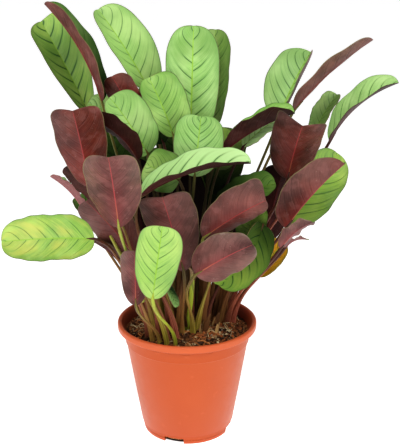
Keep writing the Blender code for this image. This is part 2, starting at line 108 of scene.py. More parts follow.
# Soil
SOIL_EDGE_HEIGHT = 107.0 * MM
SOIL_CROWN = 7.0 * MM
SOIL_LUMP = 0.6 * MM
LUMP_TURNS = (0.31, 0.27, 0.17)
SOIL_GAP = 0.8 * MM
SOIL_RINGS = 60
SOIL_SIDES = 150
SOIL_TUCK = 1.2 * MM
SOIL_REACH = 57.5 * MM
SCATTER_REACH = 57.0 * MM
CRUMB_HEIGHT = 2.6 * MM
CRUMB_SCALE = 160.0
CRUMB_SHARES = (0.55, 0.3)
CRUMB_BED = 0.1
FINE_CRUMBS = 2.7

# Loose bits on the soil and among the petioles, with rises and lengths in millimetres
LITTER_SEED = 11
REMAINS_SEED = 5
FIBRE_STEPS = 9
FIBRE_TURN = 0.16
FIBRE_WANDER = 0.15
FIBRE_RISE = (0.3, 2.2)
FIBRE_LIFT = 0.1 * MM
LUMP_ROWS = 7
LUMP_SIDES = 8
LUMP_DENTS = (0.55, 1.15)
LUMP_NARROW = (0.3, 0.75)
LUMP_TILT = 0.5
BARE_MIDDLE = (26.0, -22.0)
BARE_SPREAD = (13.0, 12.0)
LEAN_PER_METRE = 6.0
LEAN_SPREAD = 0.1
BEND_POWER = 1.6
TAPER = 0.85
TWIST = 0.7

# Skins of the loose bits: dark and light display colours, and roughness
BIT_SKINS = {
    "pale_coir": ((150, 114, 70), (244, 224, 176), 0.7),
    "brown_coir": ((110, 64, 36), (214, 140, 80), 0.7),
    "husk": ((96, 50, 26), (196, 118, 66), 0.75),
    "bark": ((34, 22, 15), (120, 80, 52), 0.8),
    "perlite": ((160, 148, 124), (226, 218, 200), 0.9),
    "withered": ((52, 34, 20), (146, 98, 54), 0.7),
    "dry_sheath": ((120, 84, 50), (206, 170, 112), 0.7),
}

# Blades
BLADE_THICKNESS = 0.45 * MM
SEED_STEP = 0.618
STATIONS = 60
CELLS = 12
CELL_SPREAD = 1.25
BASE_ROOT = 0.5
TIP_ROOT = 0.42
LOBE_FROM = 0.5
LOBE_POWER = 1.3
WAVE_HEIGHT = 1.0 * MM
WAVES = 2.4
WAVE_SHIFT = 1.9
RIPPLE_HEIGHT = 0.45 * MM
UNEVEN = 0.02
UNEVEN_WAVES = (1.3, 3.1)
QUILT_HEIGHT = 0.2 * MM
QUILT_FROM = 0.12
RIB_HEIGHT = 0.75 * MM
RIB_WIDTH = 1.1 * MM
RIB_FADE = 0.6
GROOVE_DEPTH = 0.3 * MM

# Side veins: how many, and how far each one rises towards the tip as it runs out to the margin
VEINS = 7.0
RISE_NEAR = 0.68
RISE_FAR = 0.5

# Petioles, with radii in millimetres
PETIOLE_STEPS = 16
PETIOLE_SIDES = 20
PETIOLE_RADIUS = 1.3
RIB_RADIUS = 0.8
ROOTED = 0.12
LEAN = 0.4
SHEATH_RADIUS = 2.4
SHEATH_FROM = 0.05
SHEATH_TOP = 0.4
SHEATH_FLAT = 1.45
CHANNEL_DEPTH = 0.3
SWELLING = 0.22
SWELLING_BELOW = 7.0
SWELLING_LENGTH = 6.0
STAND = 3.0 * MM
FOOT_DEPTH = 8.0 * MM

# Painted shade inside the crown: its middle, its reach and the heights where it widens and ends
SHADE_MIDDLE = (0.008, 0.02)
SHADE_REACH = 0.09
SHADE_FOOT = 0.118
SHADE_WAIST = 0.19
SHADE_TOP = 0.31
SHADE_FADE = 0.05
# Painted shade on a leaf above which it gets the shaded skins with little shine
SHADED_SKINS_ABOVE = 0.7

# Ways that the green side of a leaf looks
FRONT = (0.0, -1.0, 0.3)
BACK = (0.0, 1.0, 0.3)
UP = (0.0, 0.0, 1.0)


@dataclass
class Leaf:
    """One leaf: its form in millimetres and degrees, then its look, mostly in shares from 0 to 1.

    faces is the way the green side looks. fold and curl are for both halves, or a pair. shape is the
    place of the widest point and how blunt the base and the tip are. lobes is how far each half of
    the tip runs on beside the midrib. slim scales the sheath and crinkle the waves of the margin.
    lime is a yellower green and yellow is yellow patches, amber above 1. The next two numbers are
    painted shade on the green side and on the underside, and slant shifts that painted shade to the
    half with its sign. pale fades both sides. rose is a redder underside, stalk a greener petiole, or a
    redder one below 0, torn a pale broken margin and bold thicker side veins.
    """
    foot: tuple
    base: tuple
    tip: tuple
    width: float
    faces: tuple = UP
    arch: float = 4.0
    sweep: float = 0.0
    fold: float | tuple = 12
    curl: float | tuple = 14
    split: float = 0.5
    shape: tuple = (0.56, 2.3, 3.6)
    lobes: tuple = (0, 0)
    via: tuple = ()
    slim: float = 1.0
    crinkle: float = 1.0
    lime: float = 0.25
    yellow: float = 0.0
    # Painted shade on the green side and on the underside
    painted_shade_upper: float = 0.0
    painted_shade_under: float = 0.0
    pale: float = 0.0
    rose: float = 0.4
    stalk: float = 0.4
    torn: float = 0.0
    slant: float = 0.0
    bold: float = 0.0


# Numbers of a leaf's look that its mesh stores for the materials
STORED = ("lime", "yellow", "painted_shade_upper", "painted_shade_under", "pale", "rose", "stalk", "torn", "slant", "bold")
# Looks of the leaves inside and at the back of the crown, darkened with painted shade
PAINTED_SHADE_LOOK = {"painted_shade_upper": 1.0, "painted_shade_under": 0.9, "stalk": 0.0}
BACK_LOOK = {"lime": 0.5, "painted_shade_upper": 0.9, "painted_shade_under": 0.2, "stalk": 0.1}

# Each group's leaves are numbered from 1
LEFT_LEAVES = (
    # Front
    Leaf((-19, -46.5), (-58, -88, 240), (-62, -120, 310), 49, BACK, arch=3, fold=6, curl=16,
         shape=(0.5, 1.4, 5), lobes=(0, 4), via=((-66, -75, 226), (-57, -63, 200), (-40, -58, 160)),
         slim=0.8, painted_shade_under=0.06, rose=0.25, stalk=1),
    Leaf((-10.5, -48.5), (-29, -98, 177), (-20, -84, 240), 42, FRONT, arch=3, fold=10,
         shape=(0.64, 1.8, 3.6), slim=0.62, lime=0.75, painted_shade_upper=0.08, pale=0.1, stalk=1.6),
    Leaf((-26, -43.5), (-46, -74, 161), (-45, -90, 219), 28, BACK, fold=10, slim=0.8, rose=0.3,
         stalk=0.2),
    Leaf((-33, -39.5), (-81, -80, 227), (-160, -95, 229), 43, (0, -0.8, 0.6), arch=5, fold=5, curl=10,
         shape=(0.5, 3.4, 3), via=((-64, -56, 202),), slim=0.8, crinkle=1.7, lime=0.75, yellow=1,
         painted_shade_upper=0.09, stalk=0, bold=-0.25),
    Leaf((-27, -36), (-46, -49, 198), (-90, -58, 256), 42, BACK, fold=10, painted_shade_under=0.25, rose=0.5, stalk=0),
    Leaf((-38.5, -27), (-56, -40, 178), (-86, -46, 213), 20, (0.3, 0.2, 1), fold=30, painted_shade_upper=0.7, painted_shade_under=0.6,
         rose=0.2, stalk=0),
    Leaf((-19.5, -39.5), (-86, -61, 270), (-95, -83, 342), 48, BACK, fold=10, curl=18,
         shape=(0.6, 1.8, 6), lobes=(2, 3), via=((-49, -64, 208), (-58, -70, 238)), painted_shade_under=0.15, rose=1,
         stalk=0.5, slant=0.1),
    Leaf((-32, -24.5), (-72, -34, 240), (-108, -38, 284), 40, (0.3, 1, 0.3), painted_shade_upper=1, painted_shade_under=0.7, rose=0.9,
         stalk=0),
    Leaf((-38.5, -19), (-96, -15, 230), (-128, -19, 269), 16, (0.6, 0.3, 0.6), fold=40, crinkle=1.4,
         pale=0.5, rose=0.8, stalk=0.3),
    # Upper
    Leaf((-17, -26), (-44, -44, 291), (-84, -60, 332), 26, (0.3, 0.8, 0.6), arch=0, sweep=-9, fold=16,
         via=((-39, -24, 262),), painted_shade_upper=0.95, painted_shade_under=0.85, rose=0.9, stalk=0),
    Leaf((-27.5, -8), (-60, 13, 312), (-94, 12, 333), 30, (0.2, -0.8, 0.8), lime=0.4, painted_shade_upper=0.06,
         pale=0.14, bold=0.6),
    Leaf((-36.5, 5), (-96, 27, 322), (-141, 47, 407), 46, (0.5, -1, 0.4), fold=22, shape=(0.66, 1.6, 8),
         lobes=(-5, 6), crinkle=0.3, lime=0.75, painted_shade_upper=0.3, slant=-0.18, bold=1.3),
    Leaf((-30.5, -1.5), (-78, -12, 339), (-128, -4, 426), 44, (0.88, -0.1, 0.44), arch=7, fold=(30, 20),
         crinkle=0.4, painted_shade_upper=0.92, painted_shade_under=0.14, rose=0.8),
    Leaf((-26, 9.5), (-35, 20, 343), (-84, 36, 419), 51, (0.5, -0.85, 0.3), fold=28, split=0.47,
         shape=(0.48, 2.4, 2.6), crinkle=0.4, lime=0.35, pale=0.14),
    Leaf((-23.5, 1), (-42, -11, 310), (-67, -20, 363), 31, BACK, fold=(11, 12), rose=1, stalk=0.2),
    Leaf((-16.5, -18), (-36, -18, 291), (-69, -28, 345), 43, (0.4, -0.9, 0.3), fold=(22, 14),
         curl=(14, 10), split=0.46, pale=0.1),
)
CENTRE_LEAVES = (
    Leaf((-14.5, -3), (-12, -6, 305), (-35, 1, 359), 43, (0.3, -0.9, 0.3), fold=(12, 22), curl=(10, 14),
         split=0.4, lime=0.4),
    Leaf((-17, 6), (-22, 6, 296), (-45, 6, 348), 30, (-0.3, -1, 0.3), fold=14, painted_shade_upper=0.85, painted_shade_under=0.5,
         stalk=0),
    Leaf((-8, -17), (-6, -46, 272), (-36, -50, 288), 40, (0, -1, 0.4), lime=0.6, painted_shade_upper=0.4, stalk=0.1,
         bold=0.4),
    Leaf((-1.5, -13), (8, -40, 274), (14, -8, 324), 48, FRONT, shape=(0.5, 2.3, 2.8), crinkle=0.6,
         lime=0.1, painted_shade_upper=0.04, bold=0.6),
    Leaf((2.5, 7), (4, 4, 303), (7, 20, 405), 53, FRONT, fold=8, curl=20, shape=(0.56, 3.2, 3),
         crinkle=0.4, lime=0.15, bold=0.3),
    Leaf((10.5, 15), (23, 26, 306), (28, 40, 400), 42, (-0.35, -1, 0.2), fold=14, lime=0.5, painted_shade_upper=0.3),
    Leaf((9, 6), (26, 7, 272), (45, 16, 304), 36, FRONT, lime=1, painted_shade_upper=0.5),
    Leaf((-5, -26), (-2, -56, 188), (-20, -82, 266), 52, BACK, fold=8, curl=20, shape=(0.66, 1.6, 6),
         painted_shade_under=0.26, rose=0.5, stalk=0.2),
    Leaf((-11, -29), (-19, -66, 182), (-8, -70, 158), 8, (0, -0.6, 0.5), lime=0.3, painted_shade_upper=0.85, pale=0.16,
         slant=-0.5, bold=1),
    Leaf((-10.5, -35.5), (-40, -75, 264), (57, -82, 296), 48, (0, -0.15, 1), arch=8, fold=22,
         shape=(0.5, 2.3, 2.4), via=((-38, -60, 206),), lime=0.1, painted_shade_under=0.85, pale=0.62, stalk=0.1,
         bold=0.7),
    Leaf((6, -26), (9, -85, 195), (59, -96, 227), 44, (0.2, 1, 0.2), fold=10, shape=(0.42, 2.6, 2),
         crinkle=1.6, painted_shade_under=0.14, rose=0.2, stalk=0.2, torn=0.6),
    Leaf((10.5, -19.5), (16, -64, 223), (71, -78, 262), 37, (-0.2, 1, 0.1), fold=10, split=0.37,
         shape=(0.6, 2, 7), lobes=(-5, 12), via=((25, -46, 190),), painted_shade_under=0.04, rose=0.6, stalk=0.6),
    Leaf((19, -4.5), (58, -27, 213), (64, -42, 250), 30, FRONT, lime=0.8, painted_shade_upper=0.72, painted_shade_under=0.8, stalk=0),
    Leaf((4, -16.5), (27, -26, 239), (83, -34, 266), 36, (0, -0.5, 0.8), lime=0.6, painted_shade_upper=0.8, painted_shade_under=0.8,
         stalk=0),
)
RIGHT_LEAVES = (
    Leaf((34.5, 4), (71, -49, 231), (30, -63, 177), 37, (0.7, -0.6, 0.5), arch=14, shape=(0.5, 4, 3.2),
         via=((58, -36, 200),), lime=1, yellow=0.4, painted_shade_upper=0.82, stalk=0, bold=0.8),
    Leaf((41, 1.5), (86, -68, 214), (113, -79, 242), 21, (-0.4, 0.8, 0.5), crinkle=1.6, pale=0.06,
         stalk=0, torn=0.3),
    Leaf((46.5, 5.5), (92, -46, 207), (113, -52, 217), 9, (-0.3, 0.5, 0.8), pale=0.25, rose=0.3,
         stalk=-0.5),
    Leaf((47.5, 12), (68, -16, 171), (94, -27, 206), 27, (-0.3, -0.9, 0.4), lime=1, yellow=3, stalk=0.3),
    Leaf((40, 9), (92, -50, 228), (140, -70, 293), 45, (-0.5, 1, 0.1), fold=(46, 14), split=0.42,
         shape=(0.45, 2.3, 2.2), lobes=(0, 3), painted_shade_under=0.12, rose=0.75, stalk=-0.5),
    Leaf((46.5, 18.5), (98, -28, 226), (142, -10, 290), 46, (0.2, -1, 0.3), fold=8, shape=(0.5, 2.3, 3),
         lime=1, painted_shade_upper=0.4, stalk=-0.5, bold=0.3),
    Leaf((33.5, 11.5), (94, -32, 270), (103, -60, 325), 48, BACK, fold=8, shape=(0.6, 1.8, 14),
         lobes=(2, 15), painted_shade_under=0.16, rose=0.8, stalk=-0.5, slant=0.45),
    Leaf((40, 27.5), (124, 24, 299), (147, 36, 338), 24, (-0.5, -0.8, 0.4), fold=30, lime=0.6, painted_shade_upper=0.4,
         pale=0.2, stalk=-0.5),
    Leaf((40, 16), (136, -5, 300), (194, -20, 357), 39, (-0.4, -0.2, 0.8), arch=9, fold=22, crinkle=0.3,
         lime=0.1, painted_shade_under=0.8, pale=0.26, stalk=-0.5, bold=0.2),
    Leaf((21.5, 19), (89, 18, 317), (121, 46, 378), 50, (-0.5, -0.9, 0.3), fold=(16, 30), curl=(20, 60),
         split=0.55, shape=(0.5, 2, 2.2), crinkle=0.4, lime=0.2, pale=0.12, bold=0.4),
    Leaf((33.5, 22), (102, 0, 329), (170, -12, 395), 37, (-0.6, 0.42, 0.6), fold=8, shape=(0.5, 3.2, 3),
         crinkle=0.1, painted_shade_upper=0.7, rose=0.1),
    Leaf((17, 8.5), (38, -12, 293), (99, -32, 331), 40, (-0.35, 0, 0.9), fold=(38, 36), split=0.46,
         lime=0.3, painted_shade_under=0.72, rose=0.6),
    # Its pale share also paints light on a strip that hangs in shade
    Leaf((16.5, 23), (54, -7, 295), (95, 2, 324), 26, (-0.3, -0.6, 0.8), lime=0.3, painted_shade_under=0.4, pale=0.75,
         stalk=0),
)
INNER_LEAVES = (
    Leaf((2, 32.5), (-2, 34, 148), (-6, 36, 264), 52, BACK, **PAINTED_SHADE_LOOK),
    Leaf((21.5, 32.5), (41, 35, 140), (53, 37, 250), 44, BACK, **PAINTED_SHADE_LOOK),
    Leaf((-33, 19), (-38, 24, 158), (-58, 34, 274), 48, BACK, **PAINTED_SHADE_LOOK),
    Leaf((38, 34.5), (80, 42, 184), (98, 44, 264), 44, BACK, via=((66, 34, 152),), **PAINTED_SHADE_LOOK),
)
BACK_LEAVES = (
    Leaf((-31, 29), (-66, 54, 250), (-94, 78, 318), 48, (0.5, -0.8, 0.5), **BACK_LOOK),
    Leaf((-23, 35.5), (-24, 56, 208), (-36, 86, 274), 48, (0.3, -0.8, 0.5), **BACK_LOOK),
    Leaf((-4.5, 41.5), (-8, 58, 258), (-14, 90, 332), 50, (0, -0.8, 0.5), **BACK_LOOK),
    Leaf((5, 45.5), (12, 66, 196), (18, 102, 256), 46, (0, -0.8, 0.6), **BACK_LOOK),
    Leaf((15, 41.5), (34, 60, 228), (48, 90, 294), 48, (-0.3, -0.8, 0.5), **BACK_LOOK),
    Leaf((25, 38), (65, 62, 184), (98, 88, 246), 46, (-0.5, -0.8, 0.5), **BACK_LOOK),
    Leaf((-39.5, 20.5), (-76, 34, 190), (-112, 48, 232), 44, (0.6, -0.6, 0.6), **BACK_LOOK),
    Leaf((-33, 36), (-50, 60, 156), (-78, 88, 200), 42, (0.4, -0.6, 0.7), **BACK_LOOK),
)
LEAVES = {"left": LEFT_LEAVES, "centre": CENTRE_LEAVES, "right": RIGHT_LEAVES, "inner": INNER_LEAVES,
          "back": BACK_LEAVES}

# New leaf, still rolled into a spear: points with a radius each in millimetres, from the soil up
SHOOT_PATH = ((0, -21.5, 99, 2.2), (0, -21.5, 114, 2.2), (2.6, -21.5, 132, 2.1), (4.4, -23.5, 150, 2.2),
              (5.4, -26, 166, 2), (5, -28, 176, 1.5), (3.4, -29.4, 181, 1), (1.6, -29.8, 181.6, 0.6))
SHOOT_STEPS = 60


# Materials


def srgb(display):
    """Display values from 0 to 255 as the linear colour that shaders use."""
    values = np.array(display) / 255.0
    linear = np.where(values <= 0.04045, values / 12.92, ((values + 0.055) / 1.055) ** 2.4)
    return (*linear, 1.0)


def plug(tree, value, socket):
    """Feed a socket with a wire, or set it to a plain value."""
    if isinstance(value, Wire):
        tree.links.new(value.socket, socket)
    else:
        socket.default_value = value


def add_node(tree, kind, inputs, output=0, **settings):
    """A wire from a new node, whose inputs are given by number or name."""
    node = tree.nodes.new("ShaderNode" + kind)
    for name, value in settings.items():
        setattr(node, name, value)
    for key, value in dict(inputs).items():
        plug(tree, value, node.inputs[key])
    return Wire(tree, node.outputs[output])


class Wire:
    """A number or a colour that varies over a surface. Arithmetic on it adds nodes."""

    def __init__(self, tree, socket):
        self.tree = tree
        self.socket = socket

    def math(self, operation, *others):
        """A Math node on this value and the others."""
        return add_node(self.tree, "Math", enumerate((self, *others)), operation=operation)

    __add__ = partialmethod(math, "ADD")
    __sub__ = partialmethod(math, "SUBTRACT")
    __mul__ = partialmethod(math, "MULTIPLY")
    __pow__ = partialmethod(math, "POWER")

    # This value times the first number given, plus the second
    ramp = partialmethod(math, "MULTIPLY_ADD")

    # One minus this value
    flip = partialmethod(ramp, -1.0, 1.0)

    def step(self, low, high):
        """0 at low, 1 at high and smooth between them, also where low is the larger."""
        inputs = enumerate((self, low, high))
        return add_node(self.tree, "MapRange", inputs, interpolation_type="SMOOTHSTEP")

    def length(self):
        """The length of a vector."""
        return add_node(self.tree, "VectorMath", {0: self}, "Value", operation="LENGTH")

    def parts(self):
        """The three numbers of a vector."""
        first = add_node(self.tree, "SeparateXYZ", {0: self})
        return [Wire(self.tree, socket) for socket in first.socket.node.outputs]


class Paint:
    """One material: a Principled shader whose base colour is built up coat by coat."""

    def __init__(self, name, roughness, specular):
        self.material = bpy.data.materials.new(name)
        self.material.use_nodes = True
        self.tree = self.material.node_tree
        self.shader = self.tree.nodes["Principled BSDF"].inputs
        self.shader["Roughness"].default_value = roughness
        self.shader["Specular IOR Level"].default_value = specular
        self.colour = None

    def place(self):
        """The point's place in the object, in metres."""
        return add_node(self.tree, "TexCoord", {}, "Object")

    def uv(self):
        """The two surface coordinates."""
        return add_node(self.tree, "UVMap", {}, uv_map="surface").parts()[:2]

    def stored(self, name):
        """A number stored on the mesh."""
        return add_node(self.tree, "Attribute", {}, "Fac", attribute_name=name)

    def vector(self, *parts):
        """Three wires or numbers as one vector."""
        return add_node(self.tree, "CombineXYZ", enumerate(parts))

    def noise(self, at, scale, detail=2.0):
        """Smooth noise from 0 to 1 at a place, or at three wires or numbers."""
        at = self.vector(*at) if isinstance(at, tuple) else at
        return add_node(self.tree, "TexNoise", {"Vector": at, "Scale": scale, "Detail": detail})

    def cells(self, at, scale):
        """Distance from the middle of the nearest random cell."""
        return add_node(self.tree, "TexVoronoi", {"Vector": at, "Scale": scale})

    def chance(self, value):
        """A random number from 0 to 1 for each different value."""
        return add_node(self.tree, "TexWhiteNoise", {"W": value}, noise_dimensions="1D")

    def mix(self, share, low, high):
        """From one colour to another, wires or display values, by a share from 0 to 1."""
        low, high = (colour if isinstance(colour, Wire) else srgb(colour) for colour in (low, high))
        inputs = {0: share, 6: low, 7: high}
        return add_node(self.tree, "Mix", inputs, 2, data_type="RGBA", clamp_factor=True)

    def coat(self, share, colour):
        """Lay a colour over the paint by a share from 0 to 1."""
        self.colour = self.mix(share, self.colour, colour)

    def finish(self, height=None, depth=0.0, roughness=None):
        """Connect what varies over the surface. depth is the relief's height in metres."""
        plug(self.tree, self.colour, self.shader["Base Color"])
        if roughness is not None:
            plug(self.tree, roughness, self.shader["Roughness"])
        if height is not None:
            relief = add_node(self.tree, "Bump", {"Distance": depth, "Height": height})
            plug(self.tree, relief, self.shader["Normal"])
        return self.material


def vein_wires(paint):
    """Place across, signed and not, along, among the veins, off the nearest, its chance, the seed."""
    across, along = paint.uv()
    signed = across * 2.0 - 1.0
    side = signed.math("GREATER_THAN", 0.0)
    across = signed.math("ABSOLUTE")
    seed = paint.stored("seed")
    rise = (across * RISE_NEAR + across ** 3.0 * RISE_FAR) * paint.stored("aspect")
    wobble = (paint.noise(paint.place(), 55.0, 1.0) - 0.5) * 0.16
    row = (along - rise) * VEINS + side * 0.5 + seed
    line = (row + wobble).math("ROUND")
    away = (row + wobble - line).math("ABSOLUTE")
    chance = paint.chance(line + side * 31.0 + seed * 7.0)
    return signed, across, along, row, away, chance, seed


def inside_shade(paint):
    """How much painted shade a point gets inside the crown, where little light reaches: 0 outside, 1
    within.
    """
    x, y, height = paint.place().parts()
    reach = paint.vector(x - SHADE_MIDDLE[0], y - SHADE_MIDDLE[1], 0.0).length()
    reach = reach * (height.step(SHADE_FOOT, SHADE_WAIST).flip() + 1.0)
    return reach.step(SHADE_REACH, 0.5 * SHADE_REACH) * height.step(SHADE_TOP, SHADE_TOP - SHADE_FADE)


def upper_material(name, specular):
    """Silvery green with dark side veins, a yellow-green midrib, a fine dark margin and painted shade."""
    paint = Paint(name, 0.38, specular)
    signed, across, along, row, away, chance, seed = vein_wires(paint)
    lime = paint.stored("lime")
    place = paint.place()
    bright = paint.mix(lime, (192, 222, 154), (192, 216, 98))
    strands = paint.noise((row * 9.0, across * 1.2, seed), 1.0, 4.0)
    fine = paint.noise((row * 36.0, across * 2.0, seed), 1.0)
    cloud = paint.noise(place, 36.0, 3.0)
    dull = paint.noise(place, 22.0, 3.0)
    paint.colour = paint.mix(lime, (150, 196, 112), (152, 194, 66))
    paint.coat(strands.step(0.32, 0.66) * 0.55, (106, 158, 72))
    paint.coat(fine.step(0.42, 0.62) * 0.32, bright)
    paint.coat(cloud.step(0.42, 0.7) * 0.55, bright)
    paint.coat(dull.step(0.46, 0.72) * 0.6, (104, 148, 60))
    yellow = paint.stored("yellow")
    patches = paint.noise((row * 0.5, across, seed), 1.3, 3.0) + yellow * 0.2
    ripe = paint.mix((yellow - 1.0) * 0.5, (212, 204, 96), (214, 158, 34))
    paint.coat(patches.step(0.6, 0.95) * yellow * 0.55, ripe)
    paint.coat(across.step(0.72, 1.0) * 0.4, (96, 146, 62))
    paint.coat(paint.stored("pale") * (along * 0.6 + 0.6), (208, 240, 174))
    bold = paint.stored("bold")
    reach = chance * 0.6 + 0.5
    width = across.ramp(-0.022, 0.045) * (bold * 0.8 + 1.0)
    stroke = away.step(width, width * 0.3) * across.step(reach, reach - 0.3) * along.step(0.02, 0.08)
    paint.coat(away.step(0.2, 0.0) * across.step(1.0, 0.4) * (bold * 0.35 + 0.2), (84, 138, 58))
    paint.coat(stroke * 0.85, (46, 92, 34))
    paint.coat(across.step(along.ramp(-0.04, 0.066), 0.012) * 0.85, (146, 190, 58))
    paint.coat(across.step(0.97, 0.99) * 0.75, (62, 100, 44))
    # Painted shade, lighter towards the tip and shifted to one half by slant
    painted_shade_upper = paint.stored("painted_shade_upper") * along.ramp(-0.6, 1.25)
    painted_shade_upper = painted_shade_upper + paint.stored("slant") * signed * along.ramp(-1.0, 1.2)
    shaded = paint.mix(stroke, (30, 54, 18), (10, 22, 8))
    paint.coat(painted_shade_upper * 0.94, paint.mix(strands.step(0.3, 0.62) * 0.5, shaded, (18, 36, 12)))
    # Painted shade inside the crown
    shade = inside_shade(paint)
    paint.coat(shade * 0.74, (20, 24, 12))
    gloss = cloud.ramp(0.3, 0.24) + painted_shade_upper * 0.15 + shade * 0.3
    return paint.finish(strands * 0.3 + fine * 0.15 - stroke * 0.4, 0.0005, gloss)


def under_material(name, specular):
    """Burgundy, redder along the pink midrib and greyer towards its pale olive margin, with painted shade.
    """
    paint = Paint(name, 0.45, specular)
    signed, across, along, row, away, _, seed = vein_wires(paint)
    rose = paint.stored("rose")
    painted_shade_under = paint.stored("painted_shade_under")
    place = paint.place()
    cloud = paint.noise(place, 30.0, 4.0)
    strands = paint.noise((row * 16.0, across * 1.6, seed), 1.0, 4.0)
    smoke = paint.noise((along * 2.2, across * 1.4, seed * 9.0 + 4.0), 1.0, 4.0)
    mottle = paint.noise(place, 110.0, 3.0)
    paint.colour = paint.mix(rose, (112, 67, 65), (122, 42, 28))
    paint.coat(cloud.step(0.34, 0.66) * 0.92, (62, 25, 20))
    paint.coat(across.step(0.2, 1.0) * along.step(0.05, 0.75) * rose.flip() * 0.8, (122, 102, 90))
    paint.coat(paint.noise(place, 16.0).step(0.4, 0.7) * 0.4, (150, 100, 90))
    paint.coat(strands.step(0.45, 0.62) * 0.16, (156, 100, 90))
    paint.coat(strands.step(0.5, 0.36) * 0.14, (60, 24, 22))
    paint.coat(smoke.step(0.42, 0.74) * 0.26, (66, 28, 24))
    paint.coat(mottle.step(0.5, 0.64) * 0.22, (64, 26, 24))
    paint.coat(mottle.step(0.48, 0.36) * 0.2, (164, 110, 104))
    paint.coat(away.step(0.07, 0.015) * 0.1 * across.step(1.0, 0.5), (64, 26, 26))
    paint.coat(across.step(0.5, 0.0) * along.step(1.0, 0.1) * 0.45, (136, 42, 44))
    speck = paint.cells(place, 300.0).step(0.2, 0.08) * paint.noise(place, 70.0).step(0.48, 0.62)
    paint.coat(speck * 0.35, (172, 140, 128))
    pink = paint.mix(along.step(0.45, 0.0), (172, 66, 66), (182, 116, 74))
    paint.coat(across.step(along.ramp(-0.026, 0.04), 0.01) * 0.85, pink)
    paint.coat(across.step(0.965, 0.985) * 0.75, (128, 116, 78))
    ragged = across.step(0.74, 0.98) * mottle.step(0.5, 0.62) * along.step(0.3, 0.6)
    paint.coat(ragged * paint.stored("torn") * 0.9, (156, 134, 120))
    paint.coat(paint.stored("pale") * painted_shade_under.flip(), (176, 120, 122))
    # Painted shade, shifted to one half by slant
    paint.coat(painted_shade_under * (along * 0.3 + 0.75) + paint.stored("slant") * signed, (20, 8, 7))
    # Painted shade inside the crown
    shade = inside_shade(paint)
    paint.coat(shade * 0.8, (14, 7, 7))
    gloss = cloud.ramp(0.5, 0.16) + painted_shade_under * 0.15 + shade * 0.3
    relief = strands * 0.15 + cloud * 1.6 + mottle * 0.25 - away.step(0.1, 0.0) * 0.25
    return paint.finish(relief, 0.0008, gloss)


def round_wires(paint, around, along):
    """Three wires for noise that closes on itself around a tube."""
    turn = around * math.tau
    return turn.math("COSINE"), turn.math("SINE"), along


def stalk_material():
    """Petiole and sheath: brown-red or olive at the foot, then green or pink up to the blade, under
    painted shade inside the crown.
    """
    paint = Paint("stalk", 0.45, 0.25)
    around, along = paint.uv()
    stalk = paint.stored("stalk")
    seed = paint.stored("seed")
    pick = paint.chance(seed)
    olive = (pick + stalk * 0.7).step(0.5, 1.0)
    foot = paint.mix(olive, (200, 116, 92), (176, 162, 64))
    paint.colour = paint.mix(pick.step(0.35, 0.2) * 0.6, foot, (96, 62, 40))
    middle = paint.mix(olive * 0.4 + stalk * 0.6, (170, 98, 76), (150, 152, 58))
    paint.coat(along.step(0.1, 0.36), middle)
    paint.coat(along.step(0.45, 0.95), paint.mix(stalk, (76, 42, 34), (156, 170, 74)))
    lively = (stalk - 1.0).math("MAXIMUM", 0.0) * along.step(0.02, 0.2)
    paint.coat(lively, (176, 196, 62))
    lines = paint.vector(*round_wires(paint, around, along * 0.6 + seed * 9.0))
    stripes = paint.noise(lines, 3.4, 3.0)
    paint.coat(stripes.step(0.4, 0.66) * (lively * 0.5).flip() * 0.6, (50, 29, 20))
    paint.coat(paint.noise(lines, 2.4, 1.0).step(0.5, 0.74) * olive * 0.6, (186, 172, 84))
    paint.coat(paint.noise(paint.place(), 90.0, 3.0).step(0.5, 0.75) * 0.4, (116, 56, 42))
    shade = inside_shade(paint)
    paint.coat(shade * (along.step(0.1, 0.4) * 0.3 + 0.56), (22, 12, 8))
    return paint.finish(stripes, 0.0003, shade.ramp(0.4, 0.42))


def shoot_material():
    """The rolled leaf: bright yellow-green with a darker seam that winds round it, tan at the tip."""
    paint = Paint("shoot", 0.4, 0.45)
    around, along = paint.uv()
    wind = (around + along * 1.6).math("FRACT")
    stripes = paint.noise(round_wires(paint, around, along), 3.0, 3.0)
    paint.colour = paint.mix(along.step(0.0, 0.5), (120, 124, 40), (182, 196, 58))
    paint.coat(stripes.step(0.4, 0.7) * 0.5, (110, 132, 40))
    paint.coat((wind.step(0.16, 0.02) + wind.step(0.86, 0.98)) * 0.6, (70, 74, 28))
    paint.coat(along.step(0.8, 0.93), (150, 120, 84))
    return paint.finish(stripes, 0.0003)


def pot_material():
    """Terracotta coloured plastic with a satin skin, faint scuffs, painted shade and painted light."""
    paint = Paint("terracotta_plastic", 0.4, 0.3)
    place = paint.place()
    x, y, height = place.parts()
    scuff = paint.noise(place, 130.0, 4.0)
    cloud = paint.noise(place, 14.0, 3.0)
    paint.colour = paint.mix(cloud.step(0.3, 0.7) * 0.5, (187, 83, 35), (197, 93, 45))
    paint.coat(scuff.step(0.62, 0.8) * 0.25, (216, 116, 76))
    # Painted shade: darker towards the foot
    paint.coat(height.step(0.5 * POT_HEIGHT, 0.0) * 0.4, (164, 68, 28))
    # Painted light: a lighter collar and a lighter top of the rim
    paint.coat(height.step(COLLAR_FOOT, RIM_FOOT) * 0.14, (214, 112, 70))
    paint.coat(height.step(RIM_FOOT, RIM_FOOT + 2.0 * MM) * 0.22, (226, 122, 84))
    flare = (height - RIM_FOOT).math("MAXIMUM", 0.0) * 0.7
    skin = COLLAR_RADIUS - 0.8 * WALL
    inside = (paint.vector(x, y, 0.0).length() - flare).step(skin + 0.2 * MM, skin - 0.2 * MM)
    # Painted shade on the inside wall above the soil
    painted_inner_shade = inside * height.step(POT_HEIGHT, POT_HEIGHT - 6.0 * MM) * height.step(0.1, 0.103)
    paint.coat(painted_inner_shade * 0.7, (92, 40, 22))
    return paint.finish(paint.noise(place, 900.0), 0.00006, scuff.ramp(0.2, 0.3))


